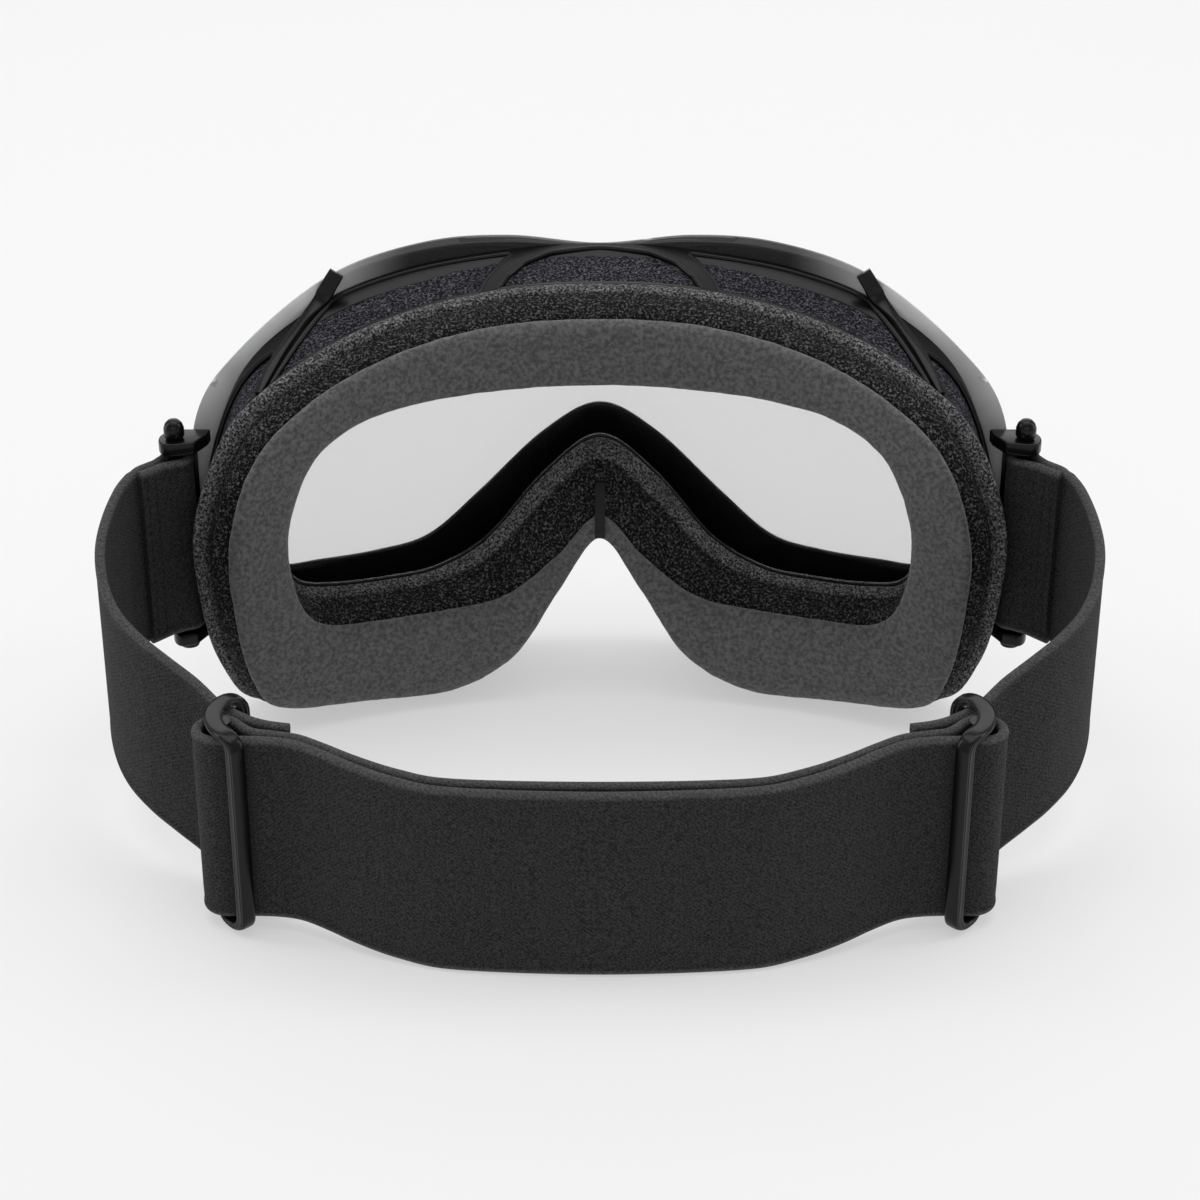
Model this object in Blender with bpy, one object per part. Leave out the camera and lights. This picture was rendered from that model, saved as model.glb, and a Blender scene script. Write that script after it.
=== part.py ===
"""Ski goggles: moulded frame, double lens, three-layer face foam, vent foams and an elastic strap
with two slide adjusters. +Z is up, +Y is the way the wearer looks, and the goggles stand on a table.
Sizes are in millimetres and MM turns them into metres when a mesh is made."""

import math

import bmesh
import bpy
from mathutils import Vector

MM = 0.001

# Driving dimensions
ORIGIN_Y = 71.3  # from the back of the strap to the middle of the whole object
GAP = 0.3  # between pieces that touch
STEPS = 3  # stations between two points of an outline

LENS_FRONT_Y = 141.0  # back face of the outer lens on the centre line
LENS_RADIUS = 115.0
LENS_DROP = 800.0  # the lens also curves back above and below its middle height
LENS_MIDDLE_Z = 50.0
OUTER_LENS = 1.6
SPACER = 2.0
SPACER_WIDTH = 4.5
INNER_LENS = 0.8
LENS_SLIT_Z = 66.0
LENS_LEVELS = (0.0, 0.05, 0.12, 0.3, 0.6, 0.9)
FLANGE = 1.4
WALL = 2.0
VENT_FOAM = 2.5
SEAT_DEPTH = -(SPACER + INNER_LENS + 3 * GAP)  # front of the lens seat, from the outer lens

FACE_Y = 107.5  # face side of the foam on the centre line
FACE_SWEEP = 37.0  # how far the temples reach back
FACE_HALF = 86.0
FACE_LEAN = 0.10
FLEECE = 3.0
CORE_END = 11.0
FOAM = 15.0

STRAP_WIDTH = 40.0
STRAP = 2.1
BAND_SPLIT_X = 50.0  # where the back band gives way to its ends
SIDE_SPLIT_X = 90.0  # where the side strap gives way to the tail inside the slide adjuster
SLIDER_LIFT = 2.5  # the strap's lower edge above the table inside a slide adjuster
END_PLATE = 1.6

ROD_X = 89.0
ROD_Y = 95.8
ROD_RADIUS = 1.4
ROD_Z = (20.8, 73.6)
ARM_Z = (21.6, 66.4)  # undersides of the two arms that hold a rod
ARM_ROOTS = (84.4, 82.1)  # how far in each arm reaches, to the frame's side
ARM = 2.8
SEWN_GAP = 1.1  # between the side strap and its sewn end, which turns on the rod

# Outlines in front view, right half, from the top centre round to the nose: (x, z)
FACE_OUT = [(0, 90.1), (22, 89.2), (43, 85.2), (60, 77.8), (71.5, 67), (77, 50), (77, 33),
            (74.6, 15.5), (69, 6.8), (52, 3.9), (33, 3.4), (19, 11), (9, 27), (0, 39.7)]
FACE_IN = [(0, 75.5), (19, 75), (38, 73.8), (50.5, 71.2), (60, 64.3), (65.4, 50), (65.2, 36),
           (62.3, 27.3), (57, 23.8), (46, 23), (31, 23.4), (20, 25.6), (9.5, 33.8), (0, 43.8)]
CORE_OUT = [(0, 93), (22, 92), (45, 87.2), (62, 80.2), (74, 70.8), (81.8, 52), (82, 34),
            (79.3, 17), (73, 5.8), (55, 3), (34.5, 3), (20, 12), (9.6, 30.5), (0, 44.5)]
BASE_OUT = [(0, 93.8), (22.6, 93), (46.5, 88.9), (64, 82.2), (77.3, 72.4), (85, 53), (85.2, 34),
            (82.4, 17), (75.6, 5), (57, 2.4), (35.5, 2.4), (20.5, 12.5), (10, 32), (0, 47)]
BASE_IN = [(0, 80), (19, 79.6), (40, 77.6), (53.5, 73.6), (63.3, 66), (68.6, 51), (68.6, 38),
           (66, 30.8), (58, 28), (47, 27.2), (36.5, 28.2), (25, 34.7), (12.3, 49.6), (0, 58.3)]
RIM_OUT = [(0, 97.2), (22, 96.1), (43, 94), (60, 89.3), (76, 78.2), (83.6, 57), (83.3, 36),
           (80.8, 17), (74.4, 3.6), (57, 0), (36, 0), (20.5, 12.2), (10, 33), (0, 48.5)]
SEAT_IN = [(0, 86), (20, 85.4), (40, 83), (56, 78), (69, 69.5), (77.3, 54), (76.8, 41),
           (71.5, 32.4), (62, 30.2), (50, 29.3), (38.8, 31), (27.4, 40), (12.6, 53.8), (0, 60.4)]
LENS_OUT = [(0, 96.8), (20, 99.3), (38, 99.4), (58, 95.0), (76.4, 83.0), (85.2, 71.5), (87.0, 50),
            (85.0, 21), (75.4, 3.6), (57, 0.6), (36.5, 0.6), (21, 11), (10.4, 31.5), (0, 46.5)]

# Plan of the strap, right half: (x, y) down the middle of its thickness
BAND_OUTER = [(0, 1.05), (26, 2.5), (38, 5.6), (46, 9), (52, 12.6), (58, 15.9), (64, 17.1), (72.2, 17.15)]
BAND_INNER = [(0, 4.6), (26, 5.6), (38, 8.6), (46, 11.8), (52, 15.1), (57, 17.9), (62, 19.3),
              (66, 20.4), (69.6, 24.2)]
TURN = (72.2, 21.3)  # centre of the band's fold round the middle bar
TURN_END = 115.0
FRONT_BAR = (68.3, 14.1)
REAR_BAR = (69.2, 31.2)
# The side strap from its free tail to its sewn end: (x, y, height of its lower edge)
SIDE_STRAP = [(59, 22, 2.5), (63, 23, 2.5), (66.5, 24.7, 2.5), (70.3, 27.8, 2.5), (74, 31.5, 2.8),
              (78.5, 35.6, 5), (84.5, 39.5, 7.8), (90, 43.9, 10), (95.3, 50.5, 12), (98.8, 57.5, 15),
              (100.5, 65, 18.8), (100.3, 73, 22), (98.9, 81, 24.6), (97.4, 86.4, 25.4)]

# Windows in the frame's wall, as stretches of the outline's points: (first, last)
WINDOWS = {"top_centre": (-1, 1), "top": (4 / 3, 8 / 3), "side": (10 / 3, 14 / 3), "bottom": (9, 10)}
WINDOW_FROM = 0.12
WINDOW_TO = 0.62

TPU_BLACK = ((0.012, 0.012, 0.013), 0.38, 0.0)
HARD_BLACK = ((0.010, 0.010, 0.011), 0.28, 0.0)
LENS_CLEAR = ((0.78, 0.79, 0.80), 0.05, 0.0)
SPACER_BLACK = ((0.02, 0.02, 0.022), 0.8, 0.0)
FOAM_GREY = ((0.075, 0.075, 0.078), 0.95, 0.0)
FOAM_BLACK = ((0.020, 0.020, 0.021), 0.95, 0.0)
FLEECE_GREY = ((0.062, 0.062, 0.062), 1.0, 0.0)
VENT_GREY = ((0.030, 0.030, 0.034), 0.95, 0.0)
ELASTIC = ((0.022, 0.022, 0.023), 0.9, 0.0)


def clear_scene():
    for obj in list(bpy.data.objects):
        bpy.data.objects.remove(obj, do_unlink=True)


def material(name, look):
    """One Principled material for one piece."""
    colour, roughness, metallic = look
    mat = bpy.data.materials.new(name)
    mat.use_nodes = True
    shader = mat.node_tree.nodes["Principled BSDF"]
    shader.inputs["Base Color"].default_value = (*colour, 1.0)
    shader.inputs["Roughness"].default_value = roughness
    shader.inputs["Metallic"].default_value = metallic
    return mat


def add_node(name, points, faces, look, pivot=(0.0, 0.0, 0.0)):
    """Makes one closed piece from points in millimetres, with its origin at the pivot."""
    shift = Vector((0.0, -ORIGIN_Y, 0.0))
    origin = Vector(pivot) + shift if any(pivot) else Vector((0.0, 0.0, 0.0))
    mesh = bpy.data.meshes.new(name)
    mesh.from_pydata([(Vector(p) + shift - origin) * MM for p in points], [], faces)
    form = bmesh.new()
    form.from_mesh(mesh)
    bmesh.ops.triangulate(form, faces=[f for f in form.faces if len(f.verts) > 4], ngon_method="BEAUTY")
    bmesh.ops.recalc_face_normals(form, faces=form.faces)
    if form.calc_volume(signed=True) < 0:
        bmesh.ops.reverse_faces(form, faces=form.faces)
    form.to_mesh(mesh)
    form.free()
    mesh.shade_smooth()
    mesh.set_sharp_from_angle(angle=math.radians(40))
    mesh.materials.append(material(name, look))
    obj = bpy.data.objects.new(name, mesh)
    obj.location = origin * MM
    bpy.context.scene.collection.objects.link(obj)
    return obj


# Curves


def smooth(points, steps, closed=False):
    """Points on a Catmull-Rom curve through the given ones."""
    count = len(points)
    spans = count if closed else count - 1
    found = []
    for i in range(spans):
        if closed:
            before, a, b, after = (points[(i + k) % count] for k in (-1, 0, 1, 2))
        else:
            before, a, b, after = (points[min(max(i + k, 0), count - 1)] for k in (-1, 0, 1, 2))
        for step in range(steps):
            t = step / steps
            found.append(tuple(
                0.5 * (2 * q + (r - p) * t + (2 * p - 5 * q + 4 * r - s) * t**2 + (3 * q - p - 3 * r + s) * t**3)
                for p, q, r, s in zip(before, a, b, after)))
    if not closed:
        found.append(tuple(float(v) for v in points[-1]))
    return found


def outline(half):
    """The whole closed outline, clockwise from the top centre, kept above the table."""
    mirrored = [(-x, z) for x, z in reversed(half[1:-1])]
    return [(x, max(z, 0.0)) for x, z in smooth(half + mirrored, STEPS, closed=True)]


def inset(loop, distance):
    """The outline moved inwards."""
    moved = []
    for i, (x, z) in enumerate(loop):
        ahead, behind = loop[(i + 1) % len(loop)], loop[i - 1]
        along = Vector((ahead[0] - behind[0], ahead[1] - behind[1])).normalized()
        moved.append((x + along.y * distance, z - along.x * distance))
    return moved


def mix(a, b, share):
    return [(p[0] + (q[0] - p[0]) * share, p[1] + (q[1] - p[1]) * share) for p, q in zip(a, b)]


def lens_y(x, z):
    """The back face of the outer lens."""
    bulge = LENS_RADIUS - math.sqrt(LENS_RADIUS**2 - x**2)
    return LENS_FRONT_Y - bulge - (z - LENS_MIDDLE_Z) ** 2 / LENS_DROP


def face_y(x, z):
    """The surface that follows the wearer's face."""
    out = abs(x) / FACE_HALF
    return FACE_Y - FACE_SWEEP * out**2.2 + FACE_LEAN * (FACE_OUT[0][1] - z) * out**2


def on_face(loop, depth):
    return [(x, face_y(x, z) + depth, z) for x, z in loop]


def on_lens(loop, depth):
    return [(x, lens_y(x, z) + depth, z) for x, z in loop]


def between(rear, front, share):
    return [tuple(p + (q - p) * share for p, q in zip(a, b)) for a, b in zip(rear, front)]


# Solids


def ring(name, rows, look):
    """A closed ring whose section is the given rows of points, each row running once round."""
    count, sides = len(rows[0]), len(rows)
    points = [row[i] for i in range(count) for row in rows]
    faces = []
    for i in range(count):
        for j in range(sides):
            a, b = i * sides, (i + 1) % count * sides
            faces.append((a + j, a + (j + 1) % sides, b + (j + 1) % sides, b + j))
    return add_node(name, points, faces, look)


def bar_along(name, rows, look, pivot=(0.0, 0.0, 0.0)):
    """A solid whose section is the given rows, closed with a cap at each end."""
    count, sides = len(rows[0]), len(rows)
    points = [row[i] for i in range(count) for row in rows]
    faces = [tuple(range(sides)), tuple((count - 1) * sides + j for j in range(sides))]
    for i in range(count - 1):
        for j in range(sides):
            a, b = i * sides, (i + 1) * sides
            faces.append((a + j, a + (j + 1) % sides, b + (j + 1) % sides, b + j))
    return add_node(name, points, faces, look, pivot)


def stations(first, last):
    """The stations of one window, from its points on the outline."""
    return range(round(first * STEPS), round(last * STEPS))


def window_cells(count):
    """The station at the start of each open cell of the frame's wall."""
    cells = set()
    for first, last in WINDOWS.values():
        for i in stations(first, last):
            cells.add(i % count)
            cells.add((-i - 1) % count)
    return cells


def make_frame(parts):
    """The moulded frame: a C-section ring with the lens seat, the foam flange and open windows."""
    rear, front = parts["frame_rear"], parts["frame_front"]
    inner_rear, inner_front = parts["wall_rear"], parts["wall_front"]
    rows = [
        rear,
        between(rear, front, WINDOW_FROM),
        between(rear, front, WINDOW_TO),
        front,
        on_lens(inset(parts["rim"], WALL), -GAP),
        on_lens(inset(parts["rim"], WALL), SEAT_DEPTH),
        on_lens(parts["seat"], SEAT_DEPTH),
        on_lens(parts["seat"], SEAT_DEPTH - FLANGE),
        on_lens(inset(mix(parts["flange"], parts["rim"], 0.75), WALL + GAP), SEAT_DEPTH - FLANGE),
        between(inner_rear, inner_front, WINDOW_TO),
        between(inner_rear, inner_front, WINDOW_FROM),
        on_face(inset(parts["flange"], WALL), FOAM + GAP + FLANGE),
        on_face(parts["base_in"], FOAM + GAP + FLANGE),
        on_face(parts["base_in"], FOAM + GAP),
    ]
    count, sides = len(rear), len(rows)
    points = [row[i] for i in range(count) for row in rows]
    open_cells = window_cells(count)
    faces = []
    for i in range(count):
        a, b = i * sides, (i + 1) % count * sides
        for j in range(sides):
            if i in open_cells and j in (1, 9):
                continue
            faces.append((a + j, a + (j + 1) % sides, b + (j + 1) % sides, b + j))
        if i not in open_cells:
            continue
        faces += [(a + 1, b + 1, b + 10, a + 10), (a + 2, a + 9, b + 9, b + 2)]
        if (i - 1) % count not in open_cells:
            faces.append((a + 1, a + 10, a + 9, a + 2))
        if (i + 1) % count not in open_cells:
            faces.append((b + 1, b + 2, b + 9, b + 10))
    return add_node("frame", points, faces, TPU_BLACK)


def make_face_foam(parts):
    """Dense base layer, open-cell core and fleece, each glued to the last."""
    out, inner = parts["face_out"], parts["face_in"]
    core, base_in = parts["core_out"], parts["base_in"]
    ring("face_foam_base", [
        on_face(mix(core, parts["base_out"], 0.4), CORE_END + GAP),
        on_face(parts["base_out"], CORE_END + 1.6),
        on_face(parts["base_out"], FOAM),
        on_face(base_in, FOAM),
        on_face(mix(inner, base_in, 0.78), CORE_END + GAP),
    ], FOAM_GREY)
    ring("face_foam_core", [
        on_face(mix(out, core, 0.12), FLEECE + GAP),
        on_face(mix(out, core, 0.8), FLEECE + 4.2),
        on_face(core, CORE_END),
        on_face(mix(inner, base_in, 0.75), CORE_END),
        on_face(mix(inner, base_in, 0.1), FLEECE + GAP),
    ], FOAM_BLACK)
    ring("face_fleece", [
        on_face(mix(out, core, 0.1), FLEECE),
        on_face(out, 1.2),
        on_face(mix(out, inner, 0.12), 0.2),
        on_face(mix(out, inner, 0.5), 0),
        on_face(mix(out, inner, 0.88), 0.2),
        on_face(inner, 1.2),
        on_face(mix(inner, base_in, 0.08), FLEECE),
    ], FLEECE_GREY)


def make_nose_seam():
    """The strip that covers the foam's joint at the nose, over the fleece and up the inner wall."""
    half = 1.0
    thick = 0.7
    middle = [(FACE_Y - GAP, FACE_OUT[-1][1] + 0.8), (FACE_Y - GAP, FACE_IN[-1][1] - 1.2),
              (FACE_Y + 1.4, FACE_IN[-1][1] + 0.9), (FACE_Y + 7.0, FACE_IN[-1][1] + 6.6)]
    away = [(-1.0, 0.0), (-0.9, 0.43), (-0.75, 0.66), (-0.7, 0.71)]
    low = [(0, y, z) for y, z in middle]
    high = [(0, y + a * thick, z + b * thick) for (y, z), (a, b) in zip(middle, away)]
    rows = [[(x, y, z) for _, y, z in row] for x, row in ((-half, low), (half, low), (half, high), (-half, high))]
    bar_along("nose_seam_strip", rows, SPACER_BLACK)


def make_lens(name, loop, front, thick):
    """A curved sheet inside an outline, meshed in rings that narrow to a slit along its middle."""
    slit = [(x * 0.55, LENS_SLIT_Z + (z - LENS_SLIT_Z) * 0.05) for x, z in loop]
    levels = [mix(loop, slit, share) for share in LENS_LEVELS]
    points = [p for depth in (front, front - thick) for level in levels for p in on_lens(level, depth)]
    count = len(loop)
    back = count * len(levels)
    last = count * (len(levels) - 1)
    faces = [tuple(range(last, last + count)), tuple(back + last + i for i in reversed(range(count)))]
    for i in range(count):
        k = (i + 1) % count
        faces.append((i, k, back + k, back + i))
        for a in range(0, last, count):
            b = a + count
            faces.append((a + i, b + i, b + k, a + k))
            faces.append((back + a + i, back + a + k, back + b + k, back + b + i))
    return add_node(name, points, faces, LENS_CLEAR)


def make_lenses(parts):
    """Outer lens, the foam spacer that seals the two lenses, and the inner lens."""
    make_lens("outer_lens", parts["lens_out"], OUTER_LENS, OUTER_LENS)
    pane = inset(parts["rim"], WALL + GAP + 0.2)
    inner_edge = inset(pane, SPACER_WIDTH)
    ring("lens_spacer", [on_lens(pane, -2 * GAP), on_lens(inner_edge, -2 * GAP),
                         on_lens(inner_edge, -SPACER), on_lens(pane, -SPACER)], SPACER_BLACK)
    make_lens("inner_lens", pane, -SPACER - GAP, INNER_LENS)


def make_vent_foams(parts):
    """Open-cell foam behind each window of the frame."""
    rear, front = mix(parts["flange"], parts["rim"], 0.14), mix(parts["flange"], parts["rim"], 0.66)
    near, far = WALL + GAP, WALL + GAP + VENT_FOAM
    start = FOAM + 2 * GAP + FLANGE
    stop = SEAT_DEPTH - FLANGE - GAP
    rows = [on_face(inset(rear, near), start), on_lens(inset(front, near), stop),
            on_lens(inset(front, far), stop), on_face(inset(rear, far), start)]
    count = len(rear)
    for place, (first, last) in WINDOWS.items():
        run = range(round(first * STEPS), round(last * STEPS) + 1)
        sides = [("", run)] if first < 0 else [("_right", run), ("_left", [-i for i in run])]
        for side, cells in sides:
            bar_along("vent_foam_" + place + side, [[row[i % count] for i in cells] for row in rows], VENT_GREY)


# Strap


def strip_rows(path, lift, thick, width):
    """The four long edges of a strap that stands on edge along a plan path."""
    rows = [[], [], [], []]
    last = len(path) - 1
    for i, (x, y) in enumerate(path):
        ahead, behind = path[min(i + 1, last)], path[max(i - 1, 0)]
        along = Vector((ahead[0] - behind[0], ahead[1] - behind[1])).normalized()
        side = Vector((-along.y, along.x)) * thick / 2
        for row, (sign, up) in zip(rows, ((1, 0), (1, 1), (-1, 1), (-1, 0))):
            row.append((x + side.x * sign, y + side.y * sign, lift[i] + up * width))
    return rows


def flipped(rows):
    return [[(-x, y, z) for x, y, z in row] for row in rows]


def add_strap(name, rows, look=ELASTIC, pivot=(0.0, 0.0, 0.0)):
    """A strap on the right side and its mirror image on the left."""
    bar_along(name + "_right", rows, look, pivot)
    bar_along(name + "_left", flipped(rows), look, (-pivot[0], pivot[1], pivot[2]))


def band_lift(x):
    """The band's lower edge, which rises where it enters a slide adjuster."""
    t = min(max((abs(x) - 30) / (BAND_SPLIT_X + 8 - 30), 0), 1)
    return SLIDER_LIFT * t * t * (3 - 2 * t)


def cut(path, low, high):
    """The stretch of a path with x between two values, ending exactly on them."""
    kept = []
    for a, b in zip(path, path[1:]):
        for edge in (low, high):
            if (a[0] - edge) * (b[0] - edge) < 0:
                t = (edge - a[0]) / (b[0] - a[0])
                kept.append((edge, a[1] + (b[1] - a[1]) * t))
        if low < b[0] < high:
            kept.append(b)
    return sorted(set(kept + [p for p in path[:1] if low < p[0] < high]))


def make_back_band():
    """The middle of the doubled back band: an outer and an inner run."""
    for name, half in (("back_band_outer", BAND_OUTER), ("back_band_inner", BAND_INNER)):
        path = [(-x, y) for x, y in reversed(half[1:])] + list(half)
        path = cut(smooth(path, 4), -BAND_SPLIT_X, BAND_SPLIT_X)
        lift = [band_lift(x) for x, _ in path]
        bar_along(name, strip_rows(path, lift, STRAP, STRAP_WIDTH), ELASTIC)


def make_band_ends():
    """The band's ends, each folded round the middle bar of its slide adjuster."""
    start = BAND_SPLIT_X + GAP
    radius = TURN[1] - BAND_OUTER[-1][1]
    outer = cut(smooth(BAND_OUTER, 4), start, TURN[0] - 0.2)
    inner = cut(smooth(BAND_INNER, 4), start, BAND_INNER[-1][0])
    turn = []
    for step in range(11):
        angle = math.radians(-90 + (90 + TURN_END) * step / 10)
        turn.append((TURN[0] + radius * math.cos(angle), TURN[1] + radius * math.sin(angle)))
    path = outer + turn + list(reversed(inner))
    lift = [band_lift(x) for x, _ in path]
    add_strap("band_end", strip_rows(path, lift, STRAP, STRAP_WIDTH), pivot=(*TURN, 0.0))


def make_side_straps():
    """The strap's sides, and the tails that run through the slide adjusters inside the band."""
    path = smooth(SIDE_STRAP, 4)
    split = next(i for i, p in enumerate(path) if p[0] >= SIDE_SPLIT_X)
    corner, ahead = Vector(path[split]), Vector(path[split + 1])
    after = corner + (ahead - corner).normalized() * GAP
    for name, run in (("strap_tail", path[:split + 1]), ("side_strap", [tuple(after)] + path[split + 1:])):
        add_strap(name, strip_rows([p[:2] for p in run], [p[2] for p in run], STRAP, STRAP_WIDTH))


def make_strap_ends():
    """The sewn loops that hold the strap on the frame's rods."""
    x, y, lift = SIDE_STRAP[-1]
    rod = Vector((ROD_X, ROD_Y))
    along = (Vector((x, y)) - rod).normalized()
    across = Vector((-along.y, along.x))
    radius = ROD_RADIUS + GAP + STRAP / 2
    leg = STRAP / 2 + GAP / 2
    reach = (Vector((x, y)) - rod).length - SEWN_GAP
    neck = radius + 2.5
    path = [rod + along * reach - across * leg, rod + along * neck - across * leg]
    for step in range(13):
        angle = math.radians(-52 - 256 * step / 12)
        path.append(rod + along * radius * math.cos(angle) + across * radius * math.sin(angle))
    path += [rod + along * neck + across * leg, rod + along * reach + across * leg]
    rows = strip_rows([tuple(p) for p in path], [lift] * len(path), STRAP, STRAP_WIDTH)
    add_strap("strap_end", rows, pivot=(ROD_X, ROD_Y, 0.0))


# Hard parts of the strap


def post(name, centre, levels, look, sides=20):
    """A turned upright: levels are (height, radius) from its foot to its top."""
    rows = []
    for k in range(sides):
        angle = 2 * math.pi * k / sides
        rows.append([(centre[0] + r * math.cos(angle), centre[1] + r * math.sin(angle), z) for z, r in levels])
    return bar_along(name, rows, look)


def slab(name, plan, low, high, look, pivot=(0.0, 0.0, 0.0)):
    """A flat plate with the given plan."""
    return bar_along(name, [[(x, y, low), (x, y, high)] for x, y in plan], look, pivot)


def joined(target, others):
    """Unites other solids with the first and removes them."""
    for other in others:
        union = target.modifiers.new(other.name, "BOOLEAN")
        union.operation = "UNION"
        union.object = other
        apply_modifiers(target)
        bpy.data.objects.remove(other, do_unlink=True)
    return target


def drilled(target, cutter):
    hole = target.modifiers.new("hole", "BOOLEAN")
    hole.operation = "DIFFERENCE"
    hole.object = cutter
    apply_modifiers(target)
    bpy.data.objects.remove(cutter, do_unlink=True)
    return target


def apply_modifiers(obj):
    """Replaces the object's mesh with what its modifiers make of it."""
    bpy.context.view_layer.update()
    graph = bpy.context.evaluated_depsgraph_get()
    mesh = bpy.data.meshes.new_from_object(obj.evaluated_get(graph))
    obj.modifiers.clear()
    obj.data = mesh


def ribbon_plan(path, width):
    """The outline of a flat ribbon of constant width with round ends."""
    left, right = [], []
    last = len(path) - 1
    for i, p in enumerate(path):
        ahead, behind = path[min(i + 1, last)], path[max(i - 1, 0)]
        along = Vector((ahead[0] - behind[0], ahead[1] - behind[1])).normalized()
        side = Vector((-along.y, along.x)) * width / 2
        left.append((p[0] + side.x, p[1] + side.y))
        right.append((p[0] - side.x, p[1] - side.y))
    return left + list(reversed(right))


def make_slider(side, name):
    """A slide adjuster: front, middle and rear bars between two curved end plates."""
    low = SLIDER_LIFT - GAP - END_PLATE
    top = SLIDER_LIFT + STRAP_WIDTH + GAP
    bend = [(side * x, y) for x, y in (FRONT_BAR, (72.0, 18.6), (73.3, 24.0), (72.0, 28.6), REAR_BAR)]
    plan = ribbon_plan(smooth(bend, 4), 3.8)
    plates = [slab(name, plan, low, low + END_PLATE, HARD_BLACK), slab("plate", plan, top, top + END_PLATE, HARD_BLACK)]
    bars = []
    for (x, y), radius in ((FRONT_BAR, 1.7), (TURN, 2.5), (REAR_BAR, 1.5)):
        bars.append(post("bar", (side * x, y), [(low + 0.4, radius), (top + END_PLATE - 0.4, radius)], HARD_BLACK, 14))
    return joined(plates[0], [plates[1], *bars])


def make_outrigger(side, suffix):
    """The two arms on the frame's side that carry the strap, and the rod through them."""
    web = [(85.2, 100.9), (85.2, 100.2), (88.4, 100.2), (88.4, 100.9)]
    arms = []
    for low, root in zip(ARM_Z, ARM_ROOTS):
        arm = [(root, 100.8), (root, 94.4), (root + 1, 92.4), (90.2, 92.2), (92.0, 94), (92.3, 97.2), (90.6, 100.8)]
        arms.append(slab("arm", [(side * x, y) for x, y in arm], low, low + ARM, HARD_BLACK))
    web = slab("outrigger" + suffix, [(side * x, y) for x, y in web], ARM_Z[0] + 0.4, ARM_Z[1] + ARM - 0.4, HARD_BLACK)
    bracket = joined(web, arms)
    spot = (side * ROD_X, ROD_Y)
    hole = post("hole", spot, [(low, ROD_RADIUS + GAP) for low in (ROD_Z[0] - 5, ROD_Z[1] + 5)], HARD_BLACK)
    drilled(bracket, hole)
    foot, head = ROD_Z
    knob = ARM_Z[1] + ARM + GAP
    rod = [(foot - 0.5, 1.9), (foot, 2.3), (ARM_Z[0] - GAP, 2.3), (ARM_Z[0] - GAP, ROD_RADIUS), (knob, ROD_RADIUS),
           (knob, 2.0), (head - 1.6, 1.9), (head, 1.2)]
    post("strap_rod" + suffix, spot, rod, HARD_BLACK, 16)


def frame_parts():
    """The outlines and rows of points that more than one piece follows."""
    names = {"face_out": FACE_OUT, "face_in": FACE_IN, "core_out": CORE_OUT, "base_out": BASE_OUT,
             "base_in": BASE_IN, "rim": RIM_OUT, "seat": SEAT_IN, "lens_out": LENS_OUT}
    parts = {name: outline(half) for name, half in names.items()}
    parts["flange"] = inset(parts["base_out"], 0.6)
    parts["frame_rear"] = on_face(parts["flange"], FOAM + GAP)
    parts["frame_front"] = on_lens(parts["rim"], -GAP)
    parts["wall_rear"] = on_face(inset(parts["flange"], WALL), FOAM + GAP)
    parts["wall_front"] = on_lens(inset(parts["rim"], WALL), -GAP)
    return parts


def main():
    clear_scene()
    parts = frame_parts()
    make_frame(parts)
    make_face_foam(parts)
    make_nose_seam()
    make_lenses(parts)
    make_vent_foams(parts)
    make_back_band()
    make_band_ends()
    make_side_straps()
    make_strap_ends()
    for side, suffix in ((1, "_right"), (-1, "_left")):
        make_slider(side, "slider" + suffix)
        make_outrigger(side, suffix)


main()
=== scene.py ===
# %% [markdown]
# # Ski goggles standing on a table
#
# A pair of ski goggles is a soft moulded frame with a double lens clipped in front, three layers of
# foam glued behind, and an elastic strap with two slide adjusters. The packed CAD model already has
# every piece in its real place and size. This notebook gives each piece its finished shape and its
# finish, and leaves sizes and joints alone.
#
# The first cell loads that model. Each CAD node is an object named after its piece, and its box tells
# where the finished piece has to go.

import math

import bmesh
import bpy
import numpy as np
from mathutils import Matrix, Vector


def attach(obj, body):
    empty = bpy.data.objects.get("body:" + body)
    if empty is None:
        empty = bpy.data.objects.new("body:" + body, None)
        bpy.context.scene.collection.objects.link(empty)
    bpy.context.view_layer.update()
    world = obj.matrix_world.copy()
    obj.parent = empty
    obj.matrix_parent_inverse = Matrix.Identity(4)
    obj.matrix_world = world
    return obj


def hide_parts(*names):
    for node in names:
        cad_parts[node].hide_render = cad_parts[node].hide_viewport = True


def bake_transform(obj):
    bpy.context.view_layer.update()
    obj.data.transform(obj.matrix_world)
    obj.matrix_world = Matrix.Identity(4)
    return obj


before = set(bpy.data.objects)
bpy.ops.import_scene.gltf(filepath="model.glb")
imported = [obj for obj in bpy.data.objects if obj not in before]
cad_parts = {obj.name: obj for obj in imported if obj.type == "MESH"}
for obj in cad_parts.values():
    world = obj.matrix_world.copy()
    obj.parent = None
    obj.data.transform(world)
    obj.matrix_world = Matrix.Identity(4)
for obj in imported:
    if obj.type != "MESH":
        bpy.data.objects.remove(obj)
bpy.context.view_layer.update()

# %% [markdown]
# ## Sizes
#
# Goggles are drawn in millimetres, and Blender works in metres here. The drawing measures depth from
# the back of the strap, so one helper moves a drawing point to its place in the scene. Keeping both
# changes in one function means that every other number below reads like a drawing.

# %% From the drawing to the scene
MM = 0.001
STRAP_BACK = 71.3  # from the back of the strap to the middle of the goggles


def place(points):
    """Drawing points in millimetres as scene points in metres."""
    return (np.asarray(points, float) - (0.0, STRAP_BACK, 0.0)) * MM


GAP = 0.3
SIDES = (("right", 1), ("left", -1))
print("the strap's back is at", place((0, 0, 0)).round(4).tolist())

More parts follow.
